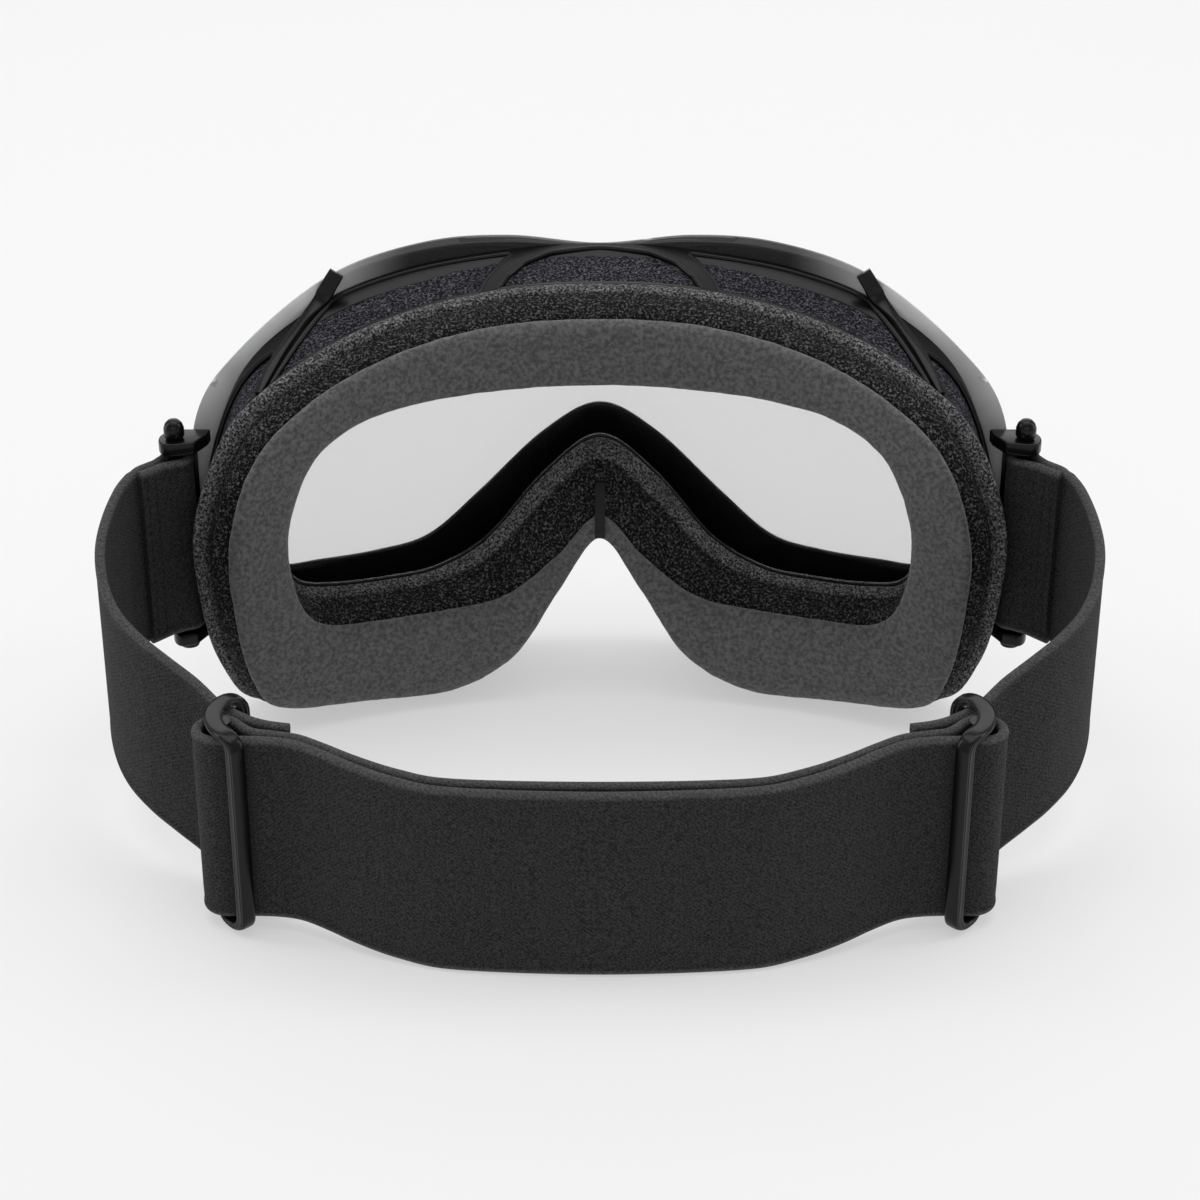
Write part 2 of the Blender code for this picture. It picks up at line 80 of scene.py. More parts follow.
# %% [markdown]
# ## Writing nodes as sums
#
# Materials and Geometry Nodes are both trees of nodes. Written out node by node they are long and hard
# to read, so a small class wraps a socket and overloads the signs: `1 - mask` adds a Math node and
# returns its output. A sum with a vector in it uses Vector Math, which keeps all three numbers. Any
# other node comes from `node`, which takes its type, its settings and what goes into its sockets.

# %% A socket that can be used in sums
def is_vector(value):
    return value.socket.type == "VECTOR" if isinstance(value, Term) else isinstance(value, (tuple, Vector))


class Term:
    """One output of a node."""

    def __init__(self, tree, socket):
        self.tree, self.socket = tree, socket

    def sum(self, operation, a, b):
        kind = "ShaderNodeVectorMath" if is_vector(a) or is_vector(b) else "ShaderNodeMath"
        return self.tree.node(kind, {"operation": operation}, {0: a, 1: b})[0]

    def __add__(self, other):
        return self.sum("ADD", self, other)

    def __radd__(self, other):
        return self.sum("ADD", other, self)

    def __sub__(self, other):
        return self.sum("SUBTRACT", self, other)

    def __rsub__(self, other):
        return self.sum("SUBTRACT", other, self)

    def __mul__(self, other):
        if is_vector(self) == is_vector(other):
            return self.sum("MULTIPLY", self, other)
        vector, number = (self, other) if is_vector(self) else (other, self)
        return self.tree.node("ShaderNodeVectorMath", {"operation": "SCALE"}, {0: vector, "Scale": number})[0]

    __rmul__ = __mul__

    def __truediv__(self, other):
        return self.sum("DIVIDE", self, other)

    def __rtruediv__(self, other):
        return self.sum("DIVIDE", other, self)

    def __gt__(self, other):
        return self.sum("GREATER_THAN", self, other)

    def __lt__(self, other):
        return self.sum("LESS_THAN", self, other)

    def __mod__(self, other):
        return self.sum("MODULO", self, other)


print("signs a socket knows: + - * / > < %")


# %% A tree that makes its nodes in one line each
class Outputs:
    """The outputs of a node, by name or by number."""

    def __init__(self, tree, made):
        self.tree, self.made = tree, made

    def __getitem__(self, key):
        return Term(self.tree, self.made.outputs[key])


class Tree:
    """A node tree, for a material or for geometry."""

    def __init__(self, tree):
        self.tree = tree
        tree.nodes.clear()

    def node(self, kind, settings=None, sockets=None):
        made = self.tree.nodes.new(kind)
        for name, value in (settings or {}).items():
            setattr(made, name, value)
        for key, value in (sockets or {}).items():
            socket = made.inputs[key]
            if isinstance(value, Term):
                self.tree.links.new(value.socket, socket)
            elif socket.type == "RGBA":
                socket.default_value = (*value, 1.0)
            elif socket.type == "VECTOR" and not is_vector(value):
                socket.default_value = (value, value, value)
            else:
                socket.default_value = value
        return Outputs(self, made)

    def one(self, function, value):
        """A Math node with a single value, such as the sine."""
        return self.node("ShaderNodeMath", {"operation": function}, {0: value})[0]

    def ramp(self, value, low, high):
        """0 below low and 1 above high, with a soft step between."""
        settings = {"interpolation_type": "SMOOTHSTEP"}
        sockets = {"Value": value, "From Min": low, "From Max": high}
        return self.node("ShaderNodeMapRange", settings, sockets)[0]

    def colour(self, share, a, b):
        """Colour a where share is 0 and b where it is 1."""
        return self.node("ShaderNodeMix", {"data_type": "RGBA"}, {0: share, 6: a, 7: b})[2]


print("a tree's helpers:", [name for name in vars(Tree) if not name.startswith("_")])

# %% [markdown]
# ## Finishes
#
# Each finish is worked out in the piece's own coordinates, so it stays on the surface from every side.
# `mottle` is the one pattern that all of them share: noise whose grain is given in millimetres. The
# height that drives the bump is the same one that drives the colour, because on real foam and cloth
# the pits are dark and the fibres that stand up are light.

# %% The start of every finish
def mottle(tree, grain, detail=2.0, rough=0.5):
    """Noise from 0 to 1 with grains of that many millimetres."""
    spot = tree.node("ShaderNodeTexCoord")["Object"]
    sockets = {"Vector": spot, "Scale": 1 / (grain * MM), "Detail": detail, "Roughness": rough}
    return tree.node("ShaderNodeTexNoise", {}, sockets)[0]


def bumped(tree, height, deep):
    """A normal for relief that is that many millimetres deep."""
    return tree.node("ShaderNodeBump", {}, {"Height": height, "Distance": deep * MM, "Strength": 1.0})[0]


def finish(name, paint):
    """A material, from a function that returns the sockets of its Principled shader."""
    made = bpy.data.materials.new(name)
    made.use_nodes = True
    tree = Tree(made.node_tree)
    shader = tree.node("ShaderNodeBsdfPrincipled", {}, paint(tree))
    tree.node("ShaderNodeOutputMaterial", {}, {0: shader[0]})
    return made


print("a finish starts from noise whose grain is given in millimetres")

# %% [markdown]
# ### Foam
#
# Open-cell foam is a sponge of tiny bubbles, cut flat. The cut leaves a field of dark pits between
# bright cell walls. Dense foam has smaller pits and looks greyer. The same recipe serves all foams:
# a fine noise with hard contrast, on top of a slower one that keeps the surface from looking printed.

# %% Foam finishes
def foam(pit, wall, grain, low, high):
    """Foam with cells of that many millimetres; low and high say how much of it is pit and wall."""
    def paint(tree):
        cells = tree.ramp(mottle(tree, grain, 3.0, 0.7), low, high)
        patch = mottle(tree, grain * 9)
        height = cells * (0.6 + 0.5 * patch)
        return {"Base Color": tree.colour(height, pit, wall), "Roughness": 0.95,
                "Normal": bumped(tree, cells, 0.22), "Specular IOR Level": 0.2}
    return paint


base_foam = finish("dense_foam", foam((0.012, 0.012, 0.013), (0.360, 0.360, 0.370), 0.48, 0.40, 0.66))
core_foam = finish("coarse_foam", foam((0.001, 0.001, 0.001), (0.210, 0.210, 0.215), 0.55, 0.47, 0.70))
vent_foam = finish("vent_foam", foam((0.002, 0.002, 0.004), (0.190, 0.184, 0.215), 0.52, 0.43, 0.68))
print("foams:", base_foam.name, core_foam.name, vent_foam.name)

# %% [markdown]
# ### Fleece
#
# The layer against the face is brushed fleece. Its fibres curl into small clumps about a millimetre
# across and catch light at a grazing angle, which is what Sheen is for. Two sizes of noise make the
# clumps and the fibres on them.

# %% Fleece finish
def fleece(tree):
    clumps = tree.ramp(mottle(tree, 0.9, 3.0, 0.6), 0.30, 0.72)
    fibres = mottle(tree, 0.16, 2.0, 0.7)
    height = 0.7 * clumps + 0.4 * fibres
    colour = tree.colour(height, (0.040, 0.040, 0.040), (0.160, 0.160, 0.160))
    return {"Base Color": colour, "Roughness": 0.96,
            "Normal": bumped(tree, height, 0.16), "Sheen Weight": 0.25, "Sheen Roughness": 0.5,
            "Specular IOR Level": 0.15}


face_fleece_look = finish("brushed_fleece", fleece)
print("fleece has", len(face_fleece_look.node_tree.nodes), "nodes")

# %% [markdown]
# ### Woven elastic
#
# The strap is woven elastic in a fine twill, with a thicker woven edge on both sides that wears a
# little lighter. A weave follows the strap round its bends, so it can't come from Object coordinates.
# Each strap carries an attribute named `weave` with the distance along it and the height across it,
# both in millimetres, and the finish reads those two numbers.

# %% Woven elastic finish
STRAP_WIDTH = 40.0


def elastic(tree):
    weave = tree.node("ShaderNodeAttribute", {"attribute_name": "weave"})["Vector"]
    parts = tree.node("ShaderNodeSeparateXYZ", {}, {0: weave})
    along, across = parts[0], parts[1]
    twill = 0.5 + 0.5 * tree.one("SINE", (along * 0.8 + across) * (2 * math.pi / 0.85))
    pick = 0.5 + 0.5 * tree.one("SINE", (across - along * 0.3) * (2 * math.pi / 0.42))
    fuzz = mottle(tree, 0.42, 3.0, 0.7)
    from_edge = (STRAP_WIDTH / 2) - tree.one("ABSOLUTE", across - STRAP_WIDTH / 2)
    edge = 1 - tree.ramp(from_edge, 0.5, 1.6)
    relief = 0.22 * twill + 0.12 * pick + 1.0 * tree.ramp(fuzz, 0.34, 0.70)
    cloth = tree.colour(relief, (0.0030, 0.0030, 0.0033), (0.045, 0.045, 0.046))
    worn = tree.colour(relief, (0.035, 0.035, 0.036), (0.105, 0.105, 0.108))
    return {"Base Color": tree.colour(edge, cloth, worn), "Roughness": 0.85,
            "Normal": bumped(tree, relief, 0.10), "Specular IOR Level": 0.15,
            "Sheen Weight": 0.04, "Sheen Roughness": 0.4}


strap_look = finish("woven_elastic", elastic)
print("elastic has", len(strap_look.node_tree.nodes), "nodes")

# %% [markdown]
# ### Moulded plastics
#
# The frame is soft polyurethane from a lightly etched mould: black with a satin gloss. The adjusters,
# the brackets and their rods are harder and shinier. Both get a fine etch in the bump and a slow change of
# roughness, as handling polishes some places more than others. The inner lens gasket is matt foam,
# and the sewing thread is dull polyester.

# %% Plastic, gasket and thread finishes
def moulded(colour, low, high, etch):
    def paint(tree):
        wear = mottle(tree, 9.0, 3.0)
        return {"Base Color": tree.colour(wear, colour, tuple(1.6 * c for c in colour)),
                "Roughness": low + (high - low) * wear, "Normal": bumped(tree, mottle(tree, 0.12), etch),
                "Specular IOR Level": 0.24}
    return paint


frame_look = finish("satin_polyurethane", moulded((0.0030, 0.0030, 0.0036), 0.20, 0.34, 0.006))
hard_look = finish("black_acetal", moulded((0.0025, 0.0025, 0.0028), 0.16, 0.28, 0.003))
gasket_look = finish("gasket", moulded((0.0100, 0.0100, 0.0110), 0.80, 0.95, 0.060))
thread_look = finish("thread", moulded((0.0120, 0.0120, 0.0125), 0.60, 0.75, 0.020))
print("plastics:", frame_look.name, hard_look.name)

# %% [markdown]
# ### Lens
#
# A clear lens shows mostly what is behind it, faintly greyed. Its edge is another matter: the sheet is
# seen end-on there, and its colour carries a painted reflection, bright at the sides and fading to dark
# along the brow. Real glass would also bend the view and slow the render, so the lens is a thin glossy
# skin whose Alpha is low in the middle and rises towards the edge. The attribute `rim` says how near
# the edge a point is.

# %% Lens finish
def clear(body, reflection_from, reflection_to):
    def paint(tree):
        rim = tree.node("ShaderNodeAttribute", {"attribute_name": "rim"})["Fac"]
        spot = tree.node("ShaderNodeSeparateXYZ", {}, {0: tree.node("ShaderNodeTexCoord")["Object"]})
        out = tree.one("ABSOLUTE", spot[0])
        # painted reflection: out towards the sides the edge colour turns bright, standing in for the
        # surroundings reflected there
        painted_reflection = tree.ramp(out, reflection_from * MM, reflection_to * MM)
        # a slow noise breaks the painted reflection into soft streaks
        band = tree.ramp(mottle(tree, 14.0, 2.0), 0.3, 0.7)
        edge = tree.colour(painted_reflection * (0.75 + 0.25 * band), (0.030, 0.030, 0.032), (0.80, 0.80, 0.81))
        return {"Base Color": tree.colour(rim, body, edge), "Roughness": 0.06 + 0.10 * rim,
                "Alpha": 0.10 + 0.86 * rim, "Coat Weight": 0.6 * rim, "Specular IOR Level": 0.5}
    return paint


# The last two numbers say where, in millimetres out from the middle, the painted reflection starts and where
# it is full.
outer_lens_look = finish("clear_hard_coat", clear((0.30, 0.30, 0.31), 40.0, 64.0))
inner_lens_look = finish("clear_anti_fog", clear((0.40, 0.40, 0.41), 144.0, 166.0))
print("lens finishes:", outer_lens_look.name, inner_lens_look.name)

# %% [markdown]
# ## The goggles' own curves
#
# Everything on goggles follows two surfaces. In front is the lens: a barrel bent round the face,
# slightly domed from top to bottom. Behind is the face itself, which falls back towards the temples.
# Between them, each piece is an outline seen from the front, such as the rim or the edge of the foam.
# An outline lists half its points, from the top centre to the bridge of the nose, and a Catmull-Rom
# curve runs through them and their mirror images. The place on an outline is a number, `u`, and whole
# numbers fall on the listed points.

# %% Lens surface and face surface
def lens_y(x, z):
    return 141.0 - (115.0 - np.sqrt(115.0**2 - x**2)) - (z - 50.0) ** 2 / 800.0


def face_y(x, z):
    out = np.abs(x) / 86.0
    return 107.5 - 37.0 * out**2.2 + 0.10 * (90.1 - z) * out**2


print("lens at the centre", lens_y(0.0, 50.0), "and at the side", round(float(lens_y(80.0, 50.0)), 1))


# %% Outlines
FACE_OUT = [(0, 90.1), (22, 89.2), (43, 85.2), (60, 77.8), (71.5, 67), (77, 50), (77, 33),
            (74.6, 15.5), (69, 6.8), (52, 3.9), (33, 3.4), (19, 11), (9, 27), (0, 39.7)]
FACE_IN = [(0, 75.5), (19, 75), (38, 73.8), (50.5, 71.2), (60, 64.3), (65.4, 50), (65.2, 36),
           (62.3, 27.3), (57, 23.8), (46, 23), (31, 23.4), (20, 25.6), (9.5, 33.8), (0, 43.8)]
CORE_OUT = [(0, 93), (22, 92), (45, 87.2), (62, 80.2), (74, 70.8), (81.8, 52), (82, 34),
            (79.3, 17), (73, 5.8), (55, 3), (34.5, 3), (20, 12), (9.6, 30.5), (0, 44.5)]
BASE_OUT = [(0, 93.8), (22.6, 93), (46.5, 88.9), (64, 82.2), (77.3, 72.4), (85, 53), (85.2, 34),
            (82.4, 17), (75.6, 5), (57, 2.4), (35.5, 2.4), (20.5, 12.5), (10, 32), (0, 47)]
BASE_IN = [(0, 80), (19, 79.6), (40, 77.6), (53.5, 73.6), (63.3, 66), (68.6, 51), (68.6, 38),
           (66, 30.8), (58, 28), (47, 27.2), (36.5, 28.2), (25, 34.7), (12.3, 49.6), (0, 58.3)]
RIM_OUT = [(0, 97.2), (22, 96.1), (43, 94), (60, 89.3), (76, 78.2), (83.6, 57), (83.3, 36),
           (80.8, 17), (74.4, 3.6), (57, 0), (36, 0), (20.5, 12.2), (10, 33), (0, 48.5)]
SEAT_IN = [(0, 86), (20, 85.4), (40, 83), (56, 78), (69, 69.5), (77.3, 54), (76.8, 41),
           (71.5, 32.4), (62, 30.2), (50, 29.3), (38.8, 31), (27.4, 40), (12.6, 53.8), (0, 60.4)]
LENS_OUT = [(0, 96.8), (20, 99.3), (38, 99.4), (58, 95.0), (76.4, 83.0), (85.2, 71.5), (87.0, 50),
            (85.0, 21), (75.4, 3.6), (57, 0.6), (36.5, 0.6), (21, 11), (10.4, 31.5), (0, 46.5)]
ROUND = 26  # u runs once round an outline from 0 to here


def through(p, q, r, s, t):
    """The Catmull-Rom curve from q to r."""
    square, cube = 2 * p - 5 * q + 4 * r - s, 3 * q - p - 3 * r + s
    return 0.5 * (2 * q + (r - p) * t + square * t**2 + cube * t**3)


def outline(half, u):
    """(x, z) on an outline at each u."""
    u = np.atleast_1d(np.asarray(u, float))
    loop = np.array(half + [(-x, z) for x, z in reversed(half[1:-1])], float)
    first = np.floor(u).astype(int)
    t = (u - first)[:, None]
    p, q, r, s = (loop[(first + k) % ROUND] for k in (-1, 0, 1, 2))
    found = through(p, q, r, s, t)
    found[:, 1] = np.maximum(found[:, 1], 0.0)
    return found


def inset(half, u, distance):
    """The same, moved inwards."""
    run = outline(half, np.asarray(u) + 0.05) - outline(half, np.asarray(u) - 0.05)
    run /= np.linalg.norm(run, axis=1, keepdims=True)
    return outline(half, u) + np.stack([run[:, 1], -run[:, 0]], 1) * np.reshape(distance, (-1, 1))


def on_lens(flat, depth):
    return np.stack([flat[:, 0], lens_y(flat[:, 0], flat[:, 1]) + depth, flat[:, 1]], 1)


def on_face(flat, depth):
    return np.stack([flat[:, 0], face_y(flat[:, 0], flat[:, 1]) + depth, flat[:, 1]], 1)


def share(a, b, t):
    return a + (b - a) * t


print("the rim is", 2 * outline(RIM_OUT, 5)[0][0], "mm wide")

# %% [markdown]
# ## Making a mesh from rows
#
# Most pieces here are one section carried round an outline: foam, rims and lens edges. `loft` joins a
# stack of such sections with quads. A sawn foam edge or a moulded corner is never sharp, so `soften`
# rounds the corners of every section first, and `fill_in` adds points along long flat stretches, so
# that relief has something to move.

# %% Sections and lofts
def soften(sections, radius, steps=5):
    """Rounds every corner of each section."""
    back, ahead = np.roll(sections, 1, 1) - sections, np.roll(sections, -1, 1) - sections
    cuts = []
    for side in (back, ahead):
        length = np.linalg.norm(side, axis=2, keepdims=True)
        cuts.append(sections + side * np.minimum(radius, 0.45 * length) / np.maximum(length, 1e-9))
    t = np.linspace(0, 1, steps)[None, None, :, None]
    start, end = (cut[:, :, None] for cut in cuts)
    corner = start * (1 - t) ** 2 + 2 * sections[:, :, None] * t * (1 - t) + end * t**2
    return corner.reshape(len(sections), -1, 3)


def fill_in(sections, spacing):
    """Adds points along the long sides of each section."""
    found = []
    for j in range(sections.shape[1]):
        a, b = sections[:, j], sections[:, (j + 1) % sections.shape[1]]
        pieces = max(1, round(float(np.linalg.norm(b - a, axis=1).mean()) / spacing))
        found += [share(a, b, k / pieces) for k in range(pieces)]
    return np.stack(found, 1)


def loft(sections, ring=True):
    """Points and faces over a stack of sections; a ring joins the last to the first."""
    n, m = sections.shape[:2]
    i, j = np.meshgrid(np.arange(n if ring else n - 1), np.arange(m), indexing="ij")
    after, beside = (i + 1) % n, (j + 1) % m
    corners = [i * m + j, i * m + beside, after * m + beside, after * m + j]
    faces = np.stack(corners, -1).reshape(-1, 4).tolist()
    if not ring:
        faces += [list(range(m))[::-1], list(range((n - 1) * m, n * m))]
    return sections.reshape(-1, 3), faces


print("a softened square has", soften(np.zeros((1, 4, 3)), 1.0).shape[1], "points")


# %% Finished pieces
def tidy(mesh, sharp=38):
    """Merges doubles, turns every face outwards and smooths the shading between sharp edges."""
    form = bmesh.new()
    form.from_mesh(mesh)
    bmesh.ops.remove_doubles(form, verts=form.verts, dist=2e-6)
    bmesh.ops.dissolve_degenerate(form, edges=form.edges, dist=1e-7)
    bmesh.ops.recalc_face_normals(form, faces=form.faces)
    if form.calc_volume(signed=True) < 0:
        bmesh.ops.reverse_faces(form, faces=form.faces)
    form.to_mesh(mesh)
    form.free()
    mesh.shade_smooth()
    mesh.set_sharp_from_angle(angle=math.radians(sharp))


def linked(name, data):
    """A new object in the scene."""
    made = bpy.data.objects.new(name, data)
    bpy.context.scene.collection.objects.link(made)
    return made


def piece(name, points, faces, look, sharp=38):
    """One closed piece of the goggles, from drawing points."""
    mesh = bpy.data.meshes.new(name)
    mesh.from_pydata(place(points).tolist(), [], faces)
    tidy(mesh, sharp)
    mesh.materials.append(look)
    return linked(name, mesh)


def joined(name, parts):
    """Several meshes of one finish as a single piece."""
    form = bmesh.new()
    for part in parts:
        form.from_mesh(part.data)
    look = parts[0].data.materials[0]
    for part in parts:
        bpy.data.objects.remove(part)
    mesh = bpy.data.meshes.new(name)
    form.to_mesh(mesh)
    form.free()
    mesh.shade_smooth()
    mesh.set_sharp_from_angle(angle=math.radians(38))
    mesh.materials.append(look)
    return linked(name, mesh)


def settle(made, body, slot, *nodes):
    """Gives a finished piece its body and hides the CAD nodes it stands for; slot is not used."""
    if body:
        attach(made, body)
    if nodes:
        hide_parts(*nodes)
    triangles = sum(len(face.vertices) - 2 for face in made.data.polygons)
    print(f"{made.name}: {triangles} triangles")
    return made


print("pieces sit at the origin, with their place in their mesh")

# %% [markdown]
# ## Geometry Nodes helpers
#
# What repeats or follows a path is made by Geometry Nodes: the webbing, the moulded beads round the
# vents, the stitches and the nap of the foam. A tree is a recipe with named inputs. `grow` puts it on
# an object, sets its inputs by their identifiers, and then turns the result into a plain mesh, since
# every later step needs real vertices.

# %% A recipe and how it is used
INPUTS = {"Geometry": "NodeSocketGeometry", "Path": "NodeSocketObject", "Section": "NodeSocketObject",
          "Finish": "NodeSocketMaterial", "Steps": "NodeSocketInt", "Length": "NodeSocketFloat",
          "Spacing": "NodeSocketFloat", "Radius": "NodeSocketFloat", "Amount": "NodeSocketFloat",
          "Grain": "NodeSocketFloat"}


def recipe(name, inputs, cook):
    """A geometry tree whose cook function returns the geometry before its last two nodes."""
    group = bpy.data.node_groups.new(name, "GeometryNodeTree")
    for label in inputs:
        group.interface.new_socket(label, in_out="INPUT", socket_type=INPUTS[label])
    group.interface.new_socket("Geometry", in_out="OUTPUT", socket_type="NodeSocketGeometry")
    tree = Tree(group)
    given = tree.node("NodeGroupInput")
    real = tree.node("GeometryNodeRealizeInstances", {}, {0: cook(tree, given)})[0]
    dressed = tree.node("GeometryNodeSetMaterial", {}, {"Geometry": real, "Material": given["Finish"]})[0]
    tree.node("NodeGroupOutput", {"is_active_output": True}, {0: dressed})
    return group


def grow(name, group, start=None, sharp=38, **values):
    """The plain mesh that a recipe makes, as a new piece."""
    mesh = start if start else bpy.data.meshes.new(name)
    made = linked(name, mesh)
    modifier = made.modifiers.new(group.name, "NODES")
    modifier.node_group = group
    for item in group.interface.items_tree:
        if item.in_out == "INPUT" and item.name in values:
            modifier[item.identifier] = values[item.name]
    bpy.context.view_layer.update()
    result = bpy.data.meshes.new_from_object(made.evaluated_get(bpy.context.evaluated_depsgraph_get()))
    made.modifiers.remove(modifier)
    result.materials.clear()
    result.materials.append(values["Finish"])
    result.polygons.foreach_set("material_index", [0] * len(result.polygons))
    made.data = result
    tidy(result, sharp)
    if "Path" in values:
        bpy.data.objects.remove(values["Path"])
    return made


def guide(name, points, cyclic=False):
    """A path for a recipe: a curve through drawing points."""
    line = bpy.data.curves.new(name, "CURVE")
    line.dimensions = "3D"
    spline = line.splines.new("POLY")
    spline.points.add(len(points) - 1)
    spline.use_cyclic_u = cyclic
    for i, spot in enumerate(place(points)):
        spline.points[i].co = (*spot, 1.0)
    return linked(name, line)


def geometry_of(tree, given, label):
    return tree.node("GeometryNodeObjectInfo", {"transform_space": "ORIGINAL"}, {0: given[label]})["Geometry"]


print("recipes can ask for:", ", ".join(INPUTS))

# %% [markdown]
# ## Face foam
#
# Three layers are glued together and die-cut: a dense grey base on the frame's flange, a coarse black
# core, and the fleece that touches the face. A loft carries each layer's section round the opening.
# Die-cut foam is never quite flat, so a recipe pushes every vertex in or out along its normal by a
# slow noise, by a few tenths of a millimetre. The noise has a fixed seed, so it comes out the same
# every time.

# %% The nap recipe
def nap_nodes(tree, given):
    spot = tree.node("GeometryNodeInputPosition")[0]
    sockets = {"Vector": spot, "W": 4.0, "Scale": 1 / given["Grain"], "Detail": 3.0, "Roughness": 0.55}
    noise = tree.node("ShaderNodeTexNoise", {"noise_dimensions": "4D"}, sockets)[0]
    lift = tree.node("GeometryNodeInputNormal")[0] * ((noise - 0.5) * given["Amount"])
    return tree.node("GeometryNodeSetPosition", {}, {"Geometry": given["Geometry"], "Offset": lift})[0]


nap = recipe("nap", ("Geometry", "Finish", "Amount", "Grain"), nap_nodes)


def napped(flat, look, amount, grain):
    """The same piece with an uneven surface."""
    name, mesh = flat.name, flat.data
    bpy.data.objects.remove(flat)
    return grow(name, nap, start=mesh, Finish=look, Amount=amount * MM, Grain=grain * MM)


print("nap has", len(nap.nodes), "nodes")


# %% Three layers of face foam
AROUND = np.arange(0, ROUND, 1 / 16)


def foam_layer(name, rows, radius, look, amount, grain):
    """A ring of foam with softened edges and a little unevenness."""
    sections = fill_in(soften(np.stack(rows, 1), radius), 1.1)
    return napped(piece(name, *loft(sections), look), look, amount, grain)


core_out, base_out = outline(CORE_OUT, AROUND), outline(BASE_OUT, AROUND)
face_out, face_in, base_in = outline(FACE_OUT, AROUND), outline(FACE_IN, AROUND), outline(BASE_IN, AROUND)
dense_base = foam_layer("dense_base", [
    on_face(share(core_out, base_out, 0.4), 11.3), on_face(base_out, 12.6), on_face(base_out, 15.0),
    on_face(base_in, 15.0), on_face(share(face_in, base_in, 0.78), 11.3)], 1.0, base_foam, 0.35, 5.0)
coarse_core = foam_layer("coarse_core", [
    on_face(share(face_out, core_out, 0.12), 3.3), on_face(share(face_out, core_out, 0.8), 7.2),
    on_face(core_out, 11.0), on_face(share(face_in, base_in, 0.75), 11.0),
    on_face(share(face_in, base_in, 0.1), 3.3)], 0.9, core_foam, 0.55, 3.0)
face_pad = foam_layer("face_pad", [
    on_face(share(face_out, core_out, 0.1), 3.1), on_face(face_out, 1.2),
    on_face(share(face_out, face_in, 0.14), 0.1), on_face(share(face_out, face_in, 0.5), -0.1),
    on_face(share(face_out, face_in, 0.86), 0.1),
    on_face(face_in, 1.2), on_face(share(face_in, base_in, 0.08), 3.1)], 1.3, face_fleece_look, 0.5, 4.0)
for layer, slot, node, fill in ((dense_base, "face_foam_base", "face_foam_base", 1.0),
                                (coarse_core, "face_foam_core", "face_foam_core", 0.9),
                                (face_pad, "face_fleece", "face_fleece", 0.8)):
    settle(layer, "goggles", slot, node)

# %% [markdown]
# A strip of tape covers the butt joint of the foam above the nose. It is bent over the edge, from the
# face side up the inner wall, so it is a short strap of rounded section along that path.

# %% Seam tape above the nose
def flow(points, steps):
    """A Catmull-Rom curve through a few points."""
    ends = [points[0], *points, points[-1]]
    found = []
    for p, q, r, s in zip(*(np.array(ends[k:len(ends) - 3 + k], float) for k in range(4))):
        t = np.linspace(0, 1, steps, endpoint=False)[:, None]
        found.append(through(p, q, r, s, t))
    return np.vstack([*found, [points[-1]]])


def unit(vectors):
    return vectors / np.linalg.norm(vectors, axis=-1, keepdims=True)


def squarish(points, power):
    """A rounded square of half-width 1; a lower power is squarer."""
    turn = np.linspace(0, 2 * math.pi, points, endpoint=False)
    return [np.sign(wave) * np.abs(wave) ** power for wave in (np.cos(turn), np.sin(turn))]


def bar(name, path, out, width, thick, look, power=0.45):
    """A bar of rounded section along a path; out is the way its face looks."""
    along = unit(np.gradient(path, axis=0))
    across = unit(np.cross(along, out))
    face = np.cross(across, along)
    x, y = squarish(20, power)
    half, deep = np.reshape(width, (-1, 1, 1)) / 2, np.reshape(thick, (-1, 1, 1)) / 2
    rows = path[:, None] + across[:, None] * x[None, :, None] * half + face[:, None] * y[None, :, None] * deep
    return piece(name, *loft(rows, ring=False), look)


fold = flow([(0, 107.2, 40.6), (0, 107.0, 42.7), (0, 108.8, 44.9), (0, 114.4, 50.5)], 8)
facing = unit(flow([(0, -1, -0.2), (0, -0.9, 0.43), (0, -0.75, 0.66), (0, -0.7, 0.71)], 8))
ends = np.array([0.5, *np.ones(len(fold) - 2), 0.5])
seam_tape = bar("seam_tape", fold, facing, 2.2 * ends, 0.8 * ends, thread_look)
settle(seam_tape, "goggles", "nose_seam", "nose_seam_strip")

# %% [markdown]
# ## Lenses
#
# The outer lens is a sheet 1.6 mm thick, cut a few millimetres larger than the frame at the top and
# sides. Rings of points step inwards from its edge, each a little nearer to a slit along the middle,
# so the mesh follows both the outline and the dome. The attribute `rim` is 1 from the edge to just
# inside the frame's rim and 0 beyond. The inner lens is a thinner sheet, and a foam gasket between
# the two keeps the air gap dry.

# %% Two lenses and their gasket
def lens(name, edge, inner, depth, thick, look):
    """A sheet inside an outline, with a rounded edge; inner holds the ring where the finish turns clear."""
    middle = np.stack([edge[:, 0] * 0.55, 66.0 + (edge[:, 1] - 66.0) * 0.03], 1)
    near = [share(edge, inner[0], 0.25), share(edge, inner[0], 0.6), inner[0], inner[1]]
    rings = near + [share(inner[1], middle, t) for t in np.linspace(0.06, 0.97, 17)]
    marks = [1, 1, 1, 0] + [0] * 17
    front = [on_lens(flat, depth) for flat in rings]
    back = [on_lens(flat, depth - thick) for flat in rings]
    sides = [on_lens(edge, depth - thick * t) for t in (0.75, 0.25)]
    stack = np.stack(back[::-1] + sides + front, 0)
    points, faces = loft(stack, ring=False)
    made = piece(name, points, faces, look, sharp=80)
    form = bmesh.new()
    form.from_mesh(made.data)
    slits = [face for face in form.faces if len(face.verts) > 4]
    bmesh.ops.triangulate(form, faces=slits, ngon_method="BEAUTY")
    form.to_mesh(made.data)
    form.free()
    rim = made.data.attributes.new("rim", "FLOAT", "POINT")
    stacked = np.repeat(marks[::-1] + [1, 1] + marks, len(edge))
    known = {tuple(np.round(spot, 6)): mark for spot, mark in zip(place(points), stacked)}
    values = [float(known.get(tuple(np.round(vertex.co, 6)), 0)) for vertex in made.data.vertices]
    rim.data.foreach_set("value", values)
    return made


